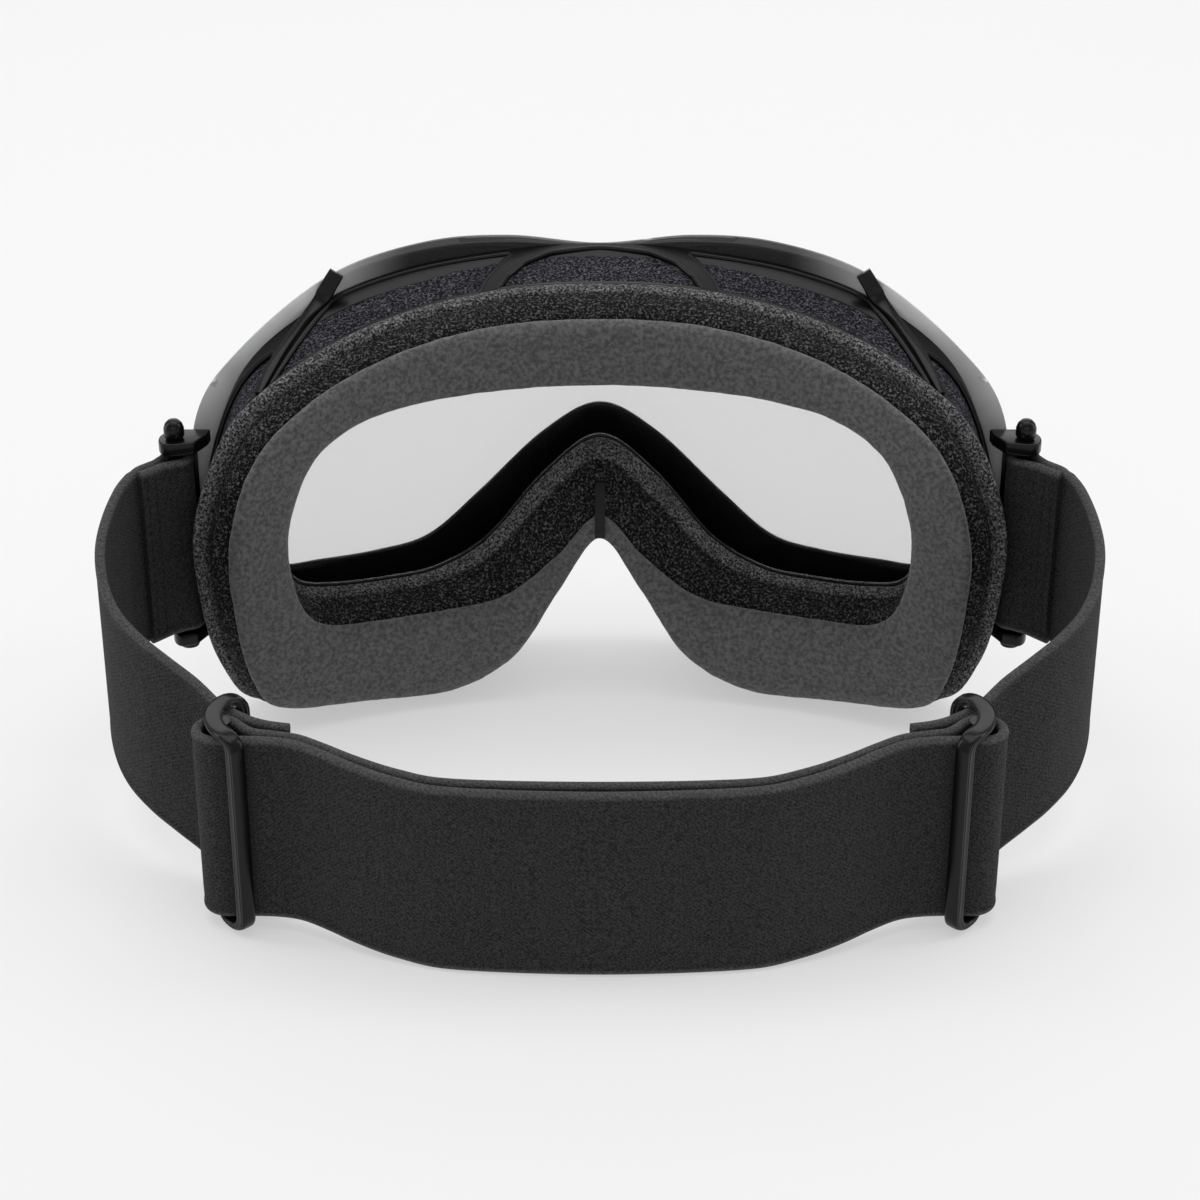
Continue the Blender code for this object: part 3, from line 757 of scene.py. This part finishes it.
def beside(flat, u, distance):
    """Where the rim runs closest to each point of an outline, so that rings between them don't cross."""
    near = np.linspace(-3, 3, 121)
    options = inset(RIM_OUT, (u[:, None] + near).ravel(), distance).reshape(len(u), len(near), 2)
    shift = near[np.linalg.norm(options - flat[:, None], axis=2).argmin(axis=1)]
    for _ in range(12):
        shift = (np.roll(shift, 1) + 2 * shift + np.roll(shift, -1)) / 4
    return u + shift


FINE = np.arange(0, ROUND, 1 / 10)
OUTER_LENS, INNER_LENS = 1.6, 0.8  # how thick the sheets are
INNER_FRONT = -2.3
edge = outline(LENS_OUT, FINE)
closest = beside(edge, FINE, 1.2)
inner = [inset(RIM_OUT, closest, distance) for distance in (1.2, 2.6)]
outer_lens = lens("outer_lens_clear", edge, inner, OUTER_LENS, OUTER_LENS, outer_lens_look)
settle(outer_lens, "goggles", "outer_lens", "outer_lens")
pane = inset(RIM_OUT, FINE, 2.5)
inner = [inset(RIM_OUT, FINE, distance) for distance in (4.6, 5.4)]
inner_lens = lens("inner_lens_clear", pane, inner, INNER_FRONT, INNER_LENS, inner_lens_look)
settle(inner_lens, "goggles", "inner_lens", "inner_lens")
held_in = inset(RIM_OUT, FINE, 7.0)
corners = ((pane, -0.5), (held_in, -0.5), (held_in, -2.1), (pane, -2.1))
rows = [on_lens(flat, depth) for flat, depth in corners]
gasket = piece("gasket_ring", *loft(soften(np.stack(rows, 1), 0.5)), gasket_look)
settle(gasket, "goggles", "lens_spacer", "lens_spacer")

# %% [markdown]
# ## Frame
#
# The frame is a thin wall between the foam's flange and the lens, opened by vent windows. A window has
# curved sides that aren't on any grid, so each is drawn as an outline on the wall: `u` round it and
# `v` from the foam to the lens. Wall cells whose middle falls inside a window are left out, and a
# moulded bead runs round each window. The bead is on the real frame too, where it stiffens the
# opening, and it covers the stepped edge of the cells.

# %% Windows on the wall
def wall(u, v, depth):
    """A point on the frame's wall, that far below its outer face."""
    u, v = np.broadcast_arrays(np.asarray(u, float), np.asarray(v, float))
    deep = depth - 0.15 * np.sin(math.pi * np.clip(v, 0, 1))
    rear = on_face(inset(BASE_OUT, u, 0.6 + deep), 15.3)
    front = on_lens(inset(RIM_OUT, u, deep), -GAP)
    return share(rear, front, v.reshape(-1, 1))


WINDOWS = {
    "top_centre": [(-0.98, 0.03), (-0.9, 0.35), (-0.76, 0.63), (-0.5, 0.85), (0, 0.93),
                   (0.5, 0.85), (0.76, 0.63), (0.9, 0.35), (0.98, 0.03)],
    "top": [(1.14, 0.03), (1.08, 0.35), (0.97, 0.66), (0.86, 0.93), (2.86, 0.95),
            (3.02, 0.72), (3.18, 0.45), (3.31, 0.2), (3.4, 0.03)],
    "side": [(3.66, 0.03), (3.56, 0.3), (3.44, 0.66), (3.72, 0.76), (4.1, 0.81), (4.5, 0.81), (4.82, 0.72),
             (4.9, 0.4), (4.88, 0.03)],
    "bottom": [(8.95, 0.22), (8.95, 0.62), (10.05, 0.62), (10.05, 0.22)]}
ROUNDING = {"top_centre": 0.05, "top": 0.07, "side": 0.1, "bottom": 0.12}


def window_line(name, sign):
    """The window's outline, with rounded corners, as (u, v) points."""
    corners = np.array([[(sign * u, v, 0.0) for u, v in WINDOWS[name]]])
    return fill_in(soften(corners, ROUNDING[name], 6), 0.05)[0, :, :2]


def inside(line, u, v):
    """Whether each (u, v) lies inside an outline."""
    found = np.zeros(np.shape(u), bool)
    for (a, b), (c, d) in zip(line, np.roll(line, -1, 0)):
        crosses = (b > v) != (d > v)
        found ^= crosses & (u < (c - a) * (v - b) / (d - b + 1e-12) + a)
    return found


openings = {("top_centre", ""): window_line("top_centre", 1)}
for name in ("top", "side", "bottom"):
    for side, sign in SIDES:
        openings[name, "_" + side] = window_line(name, sign)
print(len(openings), "vent windows")

# %% The wall and the foam in its windows
CELLS, ROWS = ROUND * 24, 26
cell_u, cell_v = np.meshgrid((np.arange(CELLS) + 0.5) / 24, (np.arange(ROWS) + 0.5) / ROWS, indexing="ij")
cell_u = np.where(cell_u > ROUND / 2, cell_u - ROUND, cell_u)
open_cells = {key: inside(line, cell_u, cell_v) for key, line in openings.items()}


def panel(name, keep, outer, inner, look):
    """A shell over the wall's kept cells, between two depths."""
    u, v = np.meshgrid(np.arange(CELLS) / 24, np.arange(ROWS + 1) / ROWS, indexing="ij")
    layers = [wall(u.ravel(), v.ravel(), depth) for depth in (outer, inner)]
    shift, faces = len(layers[0]), []
    for i, j in np.argwhere(keep):
        k, up = (i + 1) % CELLS, j + 1
        a, b, c, d = (m * (ROWS + 1) + n for m, n in ((i, j), (k, j), (k, up), (i, up)))
        faces += [(a, b, c, d), (d + shift, c + shift, b + shift, a + shift)]
        beside = ((i, j - 1, a, b), (k, j, b, c), (i, j + 1, c, d), (i - 1, j, d, a))
        for m, n, p, q in beside:
            if not 0 <= n < ROWS or not keep[m % CELLS, n]:
                faces.append((p, p + shift, q + shift, q))
    used = sorted({k for face in faces for k in face})
    number = {k: n for n, k in enumerate(used)}
    faces = [tuple(number[k] for k in face) for face in faces]
    return piece(name, np.vstack(layers)[used], faces, look)


solid_wall = ~np.any(list(open_cells.values()), axis=0)
frame_parts = [panel("wall", solid_wall, 0.0, 2.0, frame_look)]
for (name, side), keep in open_cells.items():
    pad = panel("vent_pad_" + name + side, keep, 0.9, 3.6, vent_foam)
    pad = napped(pad, vent_foam, 0.5, 2.5)
    settle(pad, "goggles", "vent_foam", "vent_foam_" + name + side)

# %% [markdown]
# The bead is the first thing that follows a path. Its recipe sweeps a circle along a curve and closes
# any open ends.

# %% The bead recipe
def bead_nodes(tree, given):
    path = geometry_of(tree, given, "Path")
    sockets = {"Resolution": given["Steps"], "Radius": given["Radius"]}
    circle = tree.node("GeometryNodeCurvePrimitiveCircle", {}, sockets)[0]
    sockets = {"Curve": path, "Profile Curve": circle, "Fill Caps": True}
    return tree.node("GeometryNodeCurveToMesh", {}, sockets)[0]


bead = recipe("bead", ("Path", "Finish", "Radius", "Steps"), bead_nodes)
for (name, side), line in openings.items():
    path = guide("path", wall(line[:, 0], line[:, 1], 0.45), cyclic=True)
    frame_parts.append(grow("bead", bead, Path=path, Finish=frame_look, Radius=0.65 * MM, Steps=12))
print(len(frame_parts) - 1, "beads")

# %% [markdown]
# The flange that the foam is glued to and the seat that the lens drops into are rings like the foam
# layers. A rib leaves the flange at each upper side, climbs to the rim and ends in a claw that holds
# the lens by its edge. All of it is one moulding, so the parts are joined into one piece.

# %% Flange, seat, ribs and claws
def rim_ring(name, rows, radius):
    return piece(name, *loft(soften(np.stack(rows, 1), radius)), frame_look)


rim, rim_in = outline(RIM_OUT, FINE), inset(RIM_OUT, FINE, 2.0)
seat, flange_in = outline(SEAT_IN, FINE), outline(BASE_IN, FINE)
frame_parts.append(rim_ring("seat", [
    on_lens(rim, -GAP), on_lens(rim_in, -GAP), on_lens(rim_in, -3.8), on_lens(seat, -3.8),
    on_lens(seat, -5.2), on_lens(inset(RIM_OUT, FINE, 2.4), -5.6),
    wall(FINE, np.full(len(FINE), 0.94), 0.3)], 0.5))
frame_parts.append(rim_ring("flange", [
    wall(FINE, np.zeros(len(FINE)), 0.0), on_face(flange_in, 15.3), on_face(flange_in, 16.7),
    wall(FINE, np.full(len(FINE), 0.12), 1.9), wall(FINE, np.full(len(FINE), 0.10), 0.1)], 0.4))
for side, sign in SIDES:
    climb = wall([3.52, 3.44, 3.32, 3.16], [0.0, 0.24, 0.52, 0.8], 0.0)
    claw = [(x, lens_y(x, z) - 1.1, z) for x, z in ((60.0, 89.8), (58.0, 93.2), (56.2, 96.0))]
    path = flow([*map(tuple, climb), *claw], 6)
    out = flow([*map(tuple, unit(wall([3.5, 3.4, 3.3, 3.16], [0, 0.24, 0.52, 0.8], -1.0) - climb)),
                (0.25, -0.8, 0.5), (0.0, -1.0, 0.1), (0.0, -1.0, 0.1)], 6)
    width = np.interp(np.linspace(0, 1, len(path)), (0, 0.5, 0.75, 1), (1.6, 2.3, 3.6, 3.3))
    flip = (sign, 1, 1)
    frame_parts.append(bar("rib", path * flip, out * flip, width, 2.0, frame_look, power=0.35))
whole_frame = joined("moulded_frame", frame_parts)
settle(whole_frame, "goggles", "frame", "frame")

# %% [markdown]
# ## Webbing
#
# The strap is woven elastic 40 mm wide that always stands upright, whatever its path does. That is a
# rule, so a recipe can make every strap: take a grid, lay one side of it along the path and wrap the
# other round a section. At each point it asks the path where it is and which way it runs, turns that
# into a level sideways direction, and adds the section's offset and height. The first and last rows
# close the ends. It also stores the `weave` attribute that the finish reads.

# %% The webbing recipe
def webbing_nodes(tree, given):
    path, section = (geometry_of(tree, given, label) for label in ("Path", "Section"))
    steps = given["Steps"]
    count = tree.node("GeometryNodeAttributeDomainSize", {"component": "MESH"}, {0: section})["Point Count"]
    size = {"Size X": 1.0, "Size Y": 1.0, "Vertices X": steps, "Vertices Y": count + 1}
    grid = tree.node("GeometryNodeMeshGrid", {}, size)["Mesh"]
    position = tree.node("GeometryNodeInputPosition")[0]
    spot = tree.node("ShaderNodeSeparateXYZ", {}, {0: position})
    row = tree.one("ROUND", (spot[0] + 0.5) * (steps - 1))
    step = tree.one("ROUND", (spot[1] + 0.5) * count) % count
    far = tree.node("ShaderNodeClamp", {}, {"Value": (row - 1) / (steps - 3)})[0]
    body = (row > 0.5) * (row < steps - 1.5)
    line = tree.node("GeometryNodeSampleCurve", {"mode": "FACTOR"}, {"Curves": path, "Factor": far})
    settings = {"data_type": "FLOAT_VECTOR", "domain": "POINT"}
    sockets = {"Geometry": section, "Value": position, "Index": step}
    here = tree.node("GeometryNodeSampleIndex", settings, sockets)[0]
    here = tree.node("ShaderNodeSeparateXYZ", {}, {0: here})
    sideways = {0: line["Tangent"], 1: (0.0, 0.0, 1.0)}
    level = tree.node("ShaderNodeVectorMath", {"operation": "CROSS_PRODUCT"}, sideways)[0]
    level = tree.node("ShaderNodeVectorMath", {"operation": "NORMALIZE"}, {0: level})[0]
    point = line["Position"] + level * (here[0] * body) + here[2] * Vector((0.0, 0.0, 1.0))
    length = tree.node("GeometryNodeCurveLength", {}, {0: path})[0]
    weave = tree.node("ShaderNodeCombineXYZ", {}, {0: far * length * 1000, 1: here[2] * 1000, 2: 0.0})[0]
    sockets = {"Geometry": grid, "Name": "weave", "Value": weave}
    marked = tree.node("GeometryNodeStoreNamedAttribute", settings, sockets)[0]
    return tree.node("GeometryNodeSetPosition", {}, {"Geometry": marked, "Position": point})[0]


webbing = recipe("webbing", ("Path", "Section", "Finish", "Steps"), webbing_nodes)
print("webbing has", len(webbing.nodes), "nodes")

# %% [markdown]
# Across its width the webbing is flat, with a rounder, slightly thicker edge on both sides where the
# weft turns back. The section lists that half outline once and mirrors it.

# %% The webbing's section
def edge_of_webbing():
    """(offset, height) from the middle of the lower edge to the flat of the strap."""
    bend = [(1.02 * math.sin(a), 1.02 - 1.02 * math.cos(a)) for a in np.linspace(0, math.pi / 2, 7)]
    return bend + [(1.02, 1.5), (0.97, 1.9), (0.88, 2.3), (0.88, 3.0)]


low = edge_of_webbing()
flat = [(0.93, h) for h in np.linspace(5, STRAP_WIDTH - 5, 13)]
half_way = low + flat + [(x, STRAP_WIDTH - h) for x, h in reversed(low)]
whole_way = half_way + [(-x, h) for x, h in reversed(half_way[1:-1])]
section_mesh = bpy.data.meshes.new("webbing_section")
section_mesh.from_pydata([(x * MM, 0.0, h * MM) for x, h in whole_way], [], [])
section = linked("webbing_section", section_mesh)


def strap(name, path, spacing=0.7):
    """Webbing along a path of (x, y, height of the lower edge) points."""
    length = float(np.linalg.norm(np.diff(path, axis=0), axis=1).sum())
    steps = max(8, round(length / spacing)) + 3
    line = guide("path", path)
    print(f"{name}: {length:.0f} mm of webbing")
    return grow(name, webbing, Path=line, Section=section, Finish=strap_look, Steps=steps, sharp=50)


print("the section has", len(whole_way), "points")

# %% [markdown] ## Back band  At the back of the head the elastic is doubled: it is a loop, folded
# at each end round the middle bar of a slide adjuster. The middle of both runs stays with the
# goggles.

# %% Back band
BAND_OUTER = [(0, 1.05), (26, 2.5), (38, 5.6), (46, 9), (52, 12.6), (58, 15.9), (64, 17.1), (72.2, 17.15)]
BAND_INNER = [(0, 4.6), (26, 5.6), (38, 8.6), (46, 11.8), (52, 15.1), (57, 17.9), (62, 19.3),
              (66, 20.4), (69.6, 24.2)]
TURN = (72.2, 21.3)
FOLD = 4.15
MIDDLE = 40.0
CLEARANCE = 2.5  # the strap's lower edge inside an adjuster


def band_height(x):
    t = np.clip((np.abs(x) - 30) / 28, 0, 1)
    return CLEARANCE * t * t * (3 - 2 * t)


def run(half, low, high):
    """The part of a band's run between two values of x, as path points."""
    line = flow([(-x, y) for x, y in reversed(half[1:])] + half, 12)
    keep = (line[:, 0] > low + 0.01) & (line[:, 0] < high - 0.01)
    ends = [(x, np.interp(x, line[:, 0], line[:, 1])) for x in (low, high)]
    flat = np.vstack([ends[0], line[keep], ends[1]])
    return np.column_stack([flat, band_height(flat[:, 0])])


for name, half in (("outer", BAND_OUTER), ("inner", BAND_INNER)):
    middle = strap("band_" + name, run(half, -MIDDLE, MIDDLE))
    settle(middle, "goggles", "elastic", "back_band_" + name)

# %% Band ends folded round the adjusters
angles = np.radians(np.linspace(-90, 115, 22))
turn = np.column_stack([TURN[0] + FOLD * np.cos(angles), TURN[1] + FOLD * np.sin(angles)])
turn = np.column_stack([turn, band_height(turn[:, 0])])
outer, inner = run(BAND_OUTER, MIDDLE, 72.1), run(BAND_INNER, MIDDLE, 69.5)
folded = np.vstack([outer, turn[1:-1], inner[::-1]])
for side, sign in SIDES:
    end = strap("band_fold_" + side, folded * (sign, 1, 1))
    "adjuster_" + side
    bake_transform(end)
    settle(end, None, "elastic", "band_end_" + side)

# %% [markdown]
# ## Side straps
#
# Each side is one length of elastic: a free tail inside the band, through the adjuster, round the
# temple and on to the sewn loop at the frame. It is made in three pieces, because a piece can blend
# between two bodies only. The cuts fall on shared points of one path, so they don't show.

# %% Side straps, tails and sewn loops
SIDE_STRAP = [(59, 22, 2.5), (63, 23, 2.5), (66.5, 24.7, 2.5), (70.3, 27.8, 2.5), (74, 31.5, 2.8),
              (78.5, 35.6, 5), (84.5, 39.5, 7.8), (90, 43.9, 10), (95.3, 50.5, 12), (98.8, 57.5, 15),
              (100.5, 65, 18.8), (100.3, 73, 22), (98.9, 81, 24.6), (97.4, 86.4, 25.4)]
ROD = np.array((89.0, 95.8))
ROD_RADIUS = 1.4
PLY = 1.15  # from the middle of the sewn end to the middle of each ply

side_path = flow(SIDE_STRAP, 10)
cut_at = 9 * 10
away = unit(side_path[-1, :2] - ROD)
outward = np.array((-away[1], away[0]))
reach = float(np.linalg.norm(side_path[-1, :2] - ROD))
loop_radius = ROD_RADIUS + 0.35 + 0.93
turns = np.radians(np.linspace(50, 310, 20))
loop = [ROD + loop_radius * (away * math.cos(a) + outward * math.sin(a)) for a in turns]
plies = [side_path[-1, :2], ROD + away * (reach - 1.5) + outward * 0.35,
         ROD + away * (reach - 3.5) + outward * PLY,
         ROD + away * (loop_radius + 2.2) + outward * PLY]
back_ply = [ROD + away * (loop_radius + 2.2) - outward * PLY, ROD + away * (reach - 1.6) - outward * PLY]
sewn = np.vstack([flow([tuple(p) for p in plies], 6), loop, back_ply])
sewn = np.column_stack([sewn, np.full(len(sewn), SIDE_STRAP[-1][2])])
for side, sign in SIDES:
    flip = (sign, 1, 1)
    tail = strap("strap_tail_" + side + "_webbing", side_path[:cut_at + 1] * flip)
    "adjuster_" + side
    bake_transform(tail)
    settle(tail, None, "elastic", "strap_tail_" + side)
    temple = strap("strap_temple_" + side, side_path[cut_at:] * flip)
    "sewn_end_" + side
    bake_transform(temple)
    settle(temple, None, "elastic", "side_strap_" + side)
    settle(strap("sewn_loop_" + side, sewn * flip), "sewn_end_" + side, "elastic", "strap_end_" + side)
bpy.data.objects.remove(section)

# %% [markdown]
# ## Stitches
#
# The loop is closed with rows of lockstitch through both plies, and the tail's cut end is hemmed with
# another row. A stitch is a short, flattened thread, the same every time, so a recipe places one at
# equal steps along a path and turns it to follow the path.

# %% The stitch recipe
def stitch_nodes(tree, given):
    path = geometry_of(tree, given, "Path")
    sockets = {"Curve": path, "Length": given["Spacing"]}
    spots = tree.node("GeometryNodeResampleCurve", {"mode": "LENGTH"}, sockets)[0]
    thread = tree.node("GeometryNodeMeshUVSphere", {}, {"Segments": 8, "Rings": 6, "Radius": 1.0})["Mesh"]
    sizes = {0: given["Length"], 1: given["Radius"], 2: given["Radius"]}
    scale = tree.node("ShaderNodeCombineXYZ", {}, sizes)[0]
    tangent = tree.node("GeometryNodeInputTangent")[0]
    turned = tree.node("FunctionNodeAlignRotationToVector", {"axis": "X"}, {"Vector": tangent})[0]
    sockets = {"Points": spots, "Instance": thread, "Rotation": turned, "Scale": scale}
    return tree.node("GeometryNodeInstanceOnPoints", {}, sockets)[0]


stitch = recipe("stitches", ("Path", "Finish", "Spacing", "Length", "Radius"), stitch_nodes)


def stitch_row(spot, low, high):
    """A vertical row of stitches at one (x, y) spot."""
    path = guide("path", [(*spot, h) for h in np.linspace(low, high, 12)])
    sizes = {"Spacing": 1.9 * MM, "Length": 0.72 * MM, "Radius": 0.2 * MM}
    return grow("row", stitch, Path=path, Finish=thread_look, **sizes)


lift = SIDE_STRAP[-1][2]
for side, sign in SIDES:
    rows = []
    for along in (reach - 3.0, reach - 5.2):
        for face in (-1, 1):
            spot = ROD + away * along + outward * face * (PLY + 0.97)
            rows.append(stitch_row(spot * (sign, 1), lift + 2.5, lift + STRAP_WIDTH - 2.5))
    settle(joined("loop_stitches_" + side, rows), "sewn_end_" + side, "elastic")
    hem = flow([p[:2] for p in SIDE_STRAP[:3]], 10)[9]
    across = unit(np.array((-1.0, 4.0)))
    rows = [stitch_row((hem + across * face * 0.98) * (sign, 1), 5.0, 40.0) for face in (-1, 1)]
    settle(joined("hem_stitches_" + side, rows), "adjuster_" + side, "elastic")

# %% [markdown]
# ## Slide adjusters
#
# An adjuster is a flat ring of hard plastic, bowed to follow the strap, with a bar across its middle
# that the band folds round. Its centre line is a rounded rectangle drawn on the bowed surface, and
# its section is wider where the ring turns into the front and rear bars. Three fine grooves run along
# each face of the ring for grip.

# %% Slide adjusters
BOW = flow([(68.3, 14.1), (72.0, 18.6), (73.3, 24.0), (72.0, 28.6), (69.2, 31.2)], 12)
measured = np.concatenate([[0], np.cumsum(np.linalg.norm(np.diff(BOW, axis=0), axis=1))])
LOW, HIGH = 1.45, 43.55


def on_bow(s):
    return np.column_stack([np.interp(s, measured, BOW[:, k]) for k in (0, 1)])


def ring_of_adjuster(name, sign):
    far = measured[-1]
    corners = np.array([[(0, LOW, 0), (0, HIGH, 0), (far, HIGH, 0), (far, LOW, 0)]], float)
    line = fill_in(soften(corners, 3.4, 9), 0.7)[0]
    centre = np.column_stack([on_bow(line[:, 0]), line[:, 1]])
    along = unit(np.roll(centre, -1, 0) - np.roll(centre, 1, 0))
    ahead, behind = on_bow(np.clip(line[:, 0] + 0.5, 0, 99)), on_bow(np.clip(line[:, 0] - 0.5, 0, 99))
    step = unit(ahead - behind)
    face = np.column_stack([step[:, 1], -step[:, 0], np.zeros(len(step))])
    across = unit(np.cross(along, face))
    upright = np.abs(along[:, 2]) ** 2
    half, deep = 0.82 + 0.63 * upright, 1.8 - 0.15 * upright
    x, y = squarish(48, 0.55)
    groove = 1 - 0.08 * (np.abs(x) < 0.75) * (0.5 + 0.5 * np.cos(4 * math.pi * x))
    rows = centre[:, None] + across[:, None] * (x[None] * half[:, None])[..., None]
    rows = rows + face[:, None] * ((y * groove)[None] * deep[:, None])[..., None]
    return piece(name, *loft(rows * (sign, 1, 1)), hard_look)


def lathe(name, spot, profile, look, sides=40):
    """A turned piece about an upright line; profile lists (height, radius)."""
    turn = np.linspace(0, 2 * math.pi, sides, endpoint=False)
    round_about = np.column_stack([np.cos(turn), np.sin(turn)])
    rows = [np.column_stack([np.array(spot) + round_about * r, np.full(sides, h)]) for h, r in profile]
    return piece(name, *loft(np.stack(rows), ring=False), look)


for side, sign in SIDES:
    centre_bar = lathe("bar", (sign * TURN[0], TURN[1]), [(LOW, 2.3), (22.0, 2.35), (HIGH, 2.3)], hard_look)
    adjuster = joined("adjuster_body_" + side, [ring_of_adjuster("ring", sign), centre_bar])
    settle(adjuster, "adjuster_" + side, "hard_plastic", "slider_" + side)

# %% [markdown]
# ## Brackets and rods
#
# Two arms stand out from each side of the frame and hold an upright rod, which is the strap's pivot.
# The arms and the web between them are one moulding with rounded edges, made as prisms and bevelled.
# The rod is a turned pin with a foot below and a knob above.

# %% Brackets and rods
def prism(name, plan, low, high, edge):
    """A moulded block over a plan, with rounded edges."""
    count = len(plan)
    points = [(x, y, z) for z in (low, high) for x, y in plan]
    faces = [tuple(range(count)), tuple(range(2 * count - 1, count - 1, -1))]
    faces += [(k, k + count, (k + 1) % count + count, (k + 1) % count) for k in range(count)]
    made = piece(name, points, faces, hard_look)
    form = bmesh.new()
    form.from_mesh(made.data)
    bmesh.ops.bevel(form, geom=form.edges[:], offset=edge * MM, segments=3, profile=0.5, affect="EDGES")
    form.to_mesh(made.data)
    form.free()
    tidy(made.data, 30)
    return made


ARM_HEIGHTS = ((21.6, 84.4), (66.4, 82.1))  # underside of each arm, and how far in it reaches
ARM = 2.8
for side, sign in SIDES:
    parts = []
    for low, root in ARM_HEIGHTS:
        bend = flow([(root + 2.5, 93.4), (90.2, 92.2), (92.0, 94), (92.3, 97.2), (90.6, 100.8)], 5)
        plan = [(root, 100.8), (root + 0.3, 98.2), *map(tuple, bend)]
        parts.append(prism("arm", [(sign * x, y) for x, y in plan], low, low + ARM, 0.45))
    web = [(85.2, 100.9), (85.2, 100.2), (88.4, 100.2), (88.4, 100.9)]
    parts.append(prism("web", [(sign * x, y) for x, y in web], 22.0, 68.8, 0.2))
    settle(joined("bracket_" + side, parts), "goggles", "hard_plastic", "outrigger_" + side)
    pin = [(20.3, 1.5), (20.5, 1.95), (21.1, 2.2), (21.3, 2.2), (21.35, ROD_RADIUS), (69.45, ROD_RADIUS),
           (69.5, 1.9), (70.0, 2.15), (71.6, 2.15), (72.6, 1.8), (73.3, 1.1), (73.5, 0.3)]
    rod = lathe("rod_" + side, (sign * ROD[0], ROD[1]), pin, hard_look)
    settle(rod, "goggles", "hard_plastic", "strap_rod_" + side)

# %% [markdown]
# ## Floor, light and camera
#
# The goggles stand on a plain pale surface under soft light. The surface glows faintly, as a light
# table does, which keeps the shadow pale. A large lamp above gives that shadow, and a lower one in
# front keeps the lens bright. Two strips at the sides draw the highlights along the frame's ribs. The
# camera looks down on the back of the strap.

# %% Floor
def paper(tree):
    return {"Base Color": (0.45, 0.45, 0.45), "Roughness": 0.75 + 0.1 * mottle(tree, 40.0),
            "Specular IOR Level": 0.1, "Emission Color": (1.0, 1.0, 1.0), "Emission Strength": 0.47}


floor_mesh = bpy.data.meshes.new("floor")
floor_mesh.from_pydata([(x, y, -0.0002) for x, y in ((-8, -8), (8, -8), (8, 8), (-8, 8))], [], [(0, 1, 2, 3)])
floor_mesh.materials.append(finish("pale_paper", paper))
linked("floor", floor_mesh)


# %% Lights and camera
def lamp(name, spot, aim, size, power):
    light = bpy.data.lights.new(name, "AREA")
    light.shape, light.size, light.size_y, light.energy = "RECTANGLE", size[0], size[1], power
    made = linked(name, light)
    made.location = spot
    made.rotation_euler = (Vector(aim) - Vector(spot)).to_track_quat("-Z", "Y").to_euler()


lamp("overhead", (0.0, 0.15, 1.3), (0, 0, 0), (1.4, 1.1), 8.0)
lamp("behind", (0.0, 1.2, 0.7), (0, 0, 0.05), (1.6, 0.7), 3.6)
lamp("left_strip", (-0.9, 0.1, 0.45), (0, 0, 0.05), (0.2, 0.9), 1.8)
lamp("right_strip", (0.9, 0.1, 0.45), (0, 0, 0.05), (0.2, 0.9), 1.8)
lamp("near_fill", (0.0, -1.2, 0.6), (0, 0, 0.03), (1.0, 0.6), 1.4)
world = bpy.data.worlds.new("studio")
world.use_nodes = True
world.node_tree.nodes["Background"].inputs["Color"].default_value = (1.0, 1.0, 1.0, 1.0)
world.node_tree.nodes["Background"].inputs["Strength"].default_value = 0.42
bpy.context.scene.world = world
bpy.context.scene.view_settings.view_transform = "Standard"
camera = linked("camera", bpy.data.cameras.new("camera"))
camera.data.lens, camera.data.sensor_width = 81.0, 36.0
camera.location = (0.0, -0.494, 0.2954)
camera.rotation_euler = (math.radians(63.0), 0.0, 0.0)
bpy.context.scene.camera = camera
print("the camera is", round(camera.location.length, 3), "m from the goggles' middle")
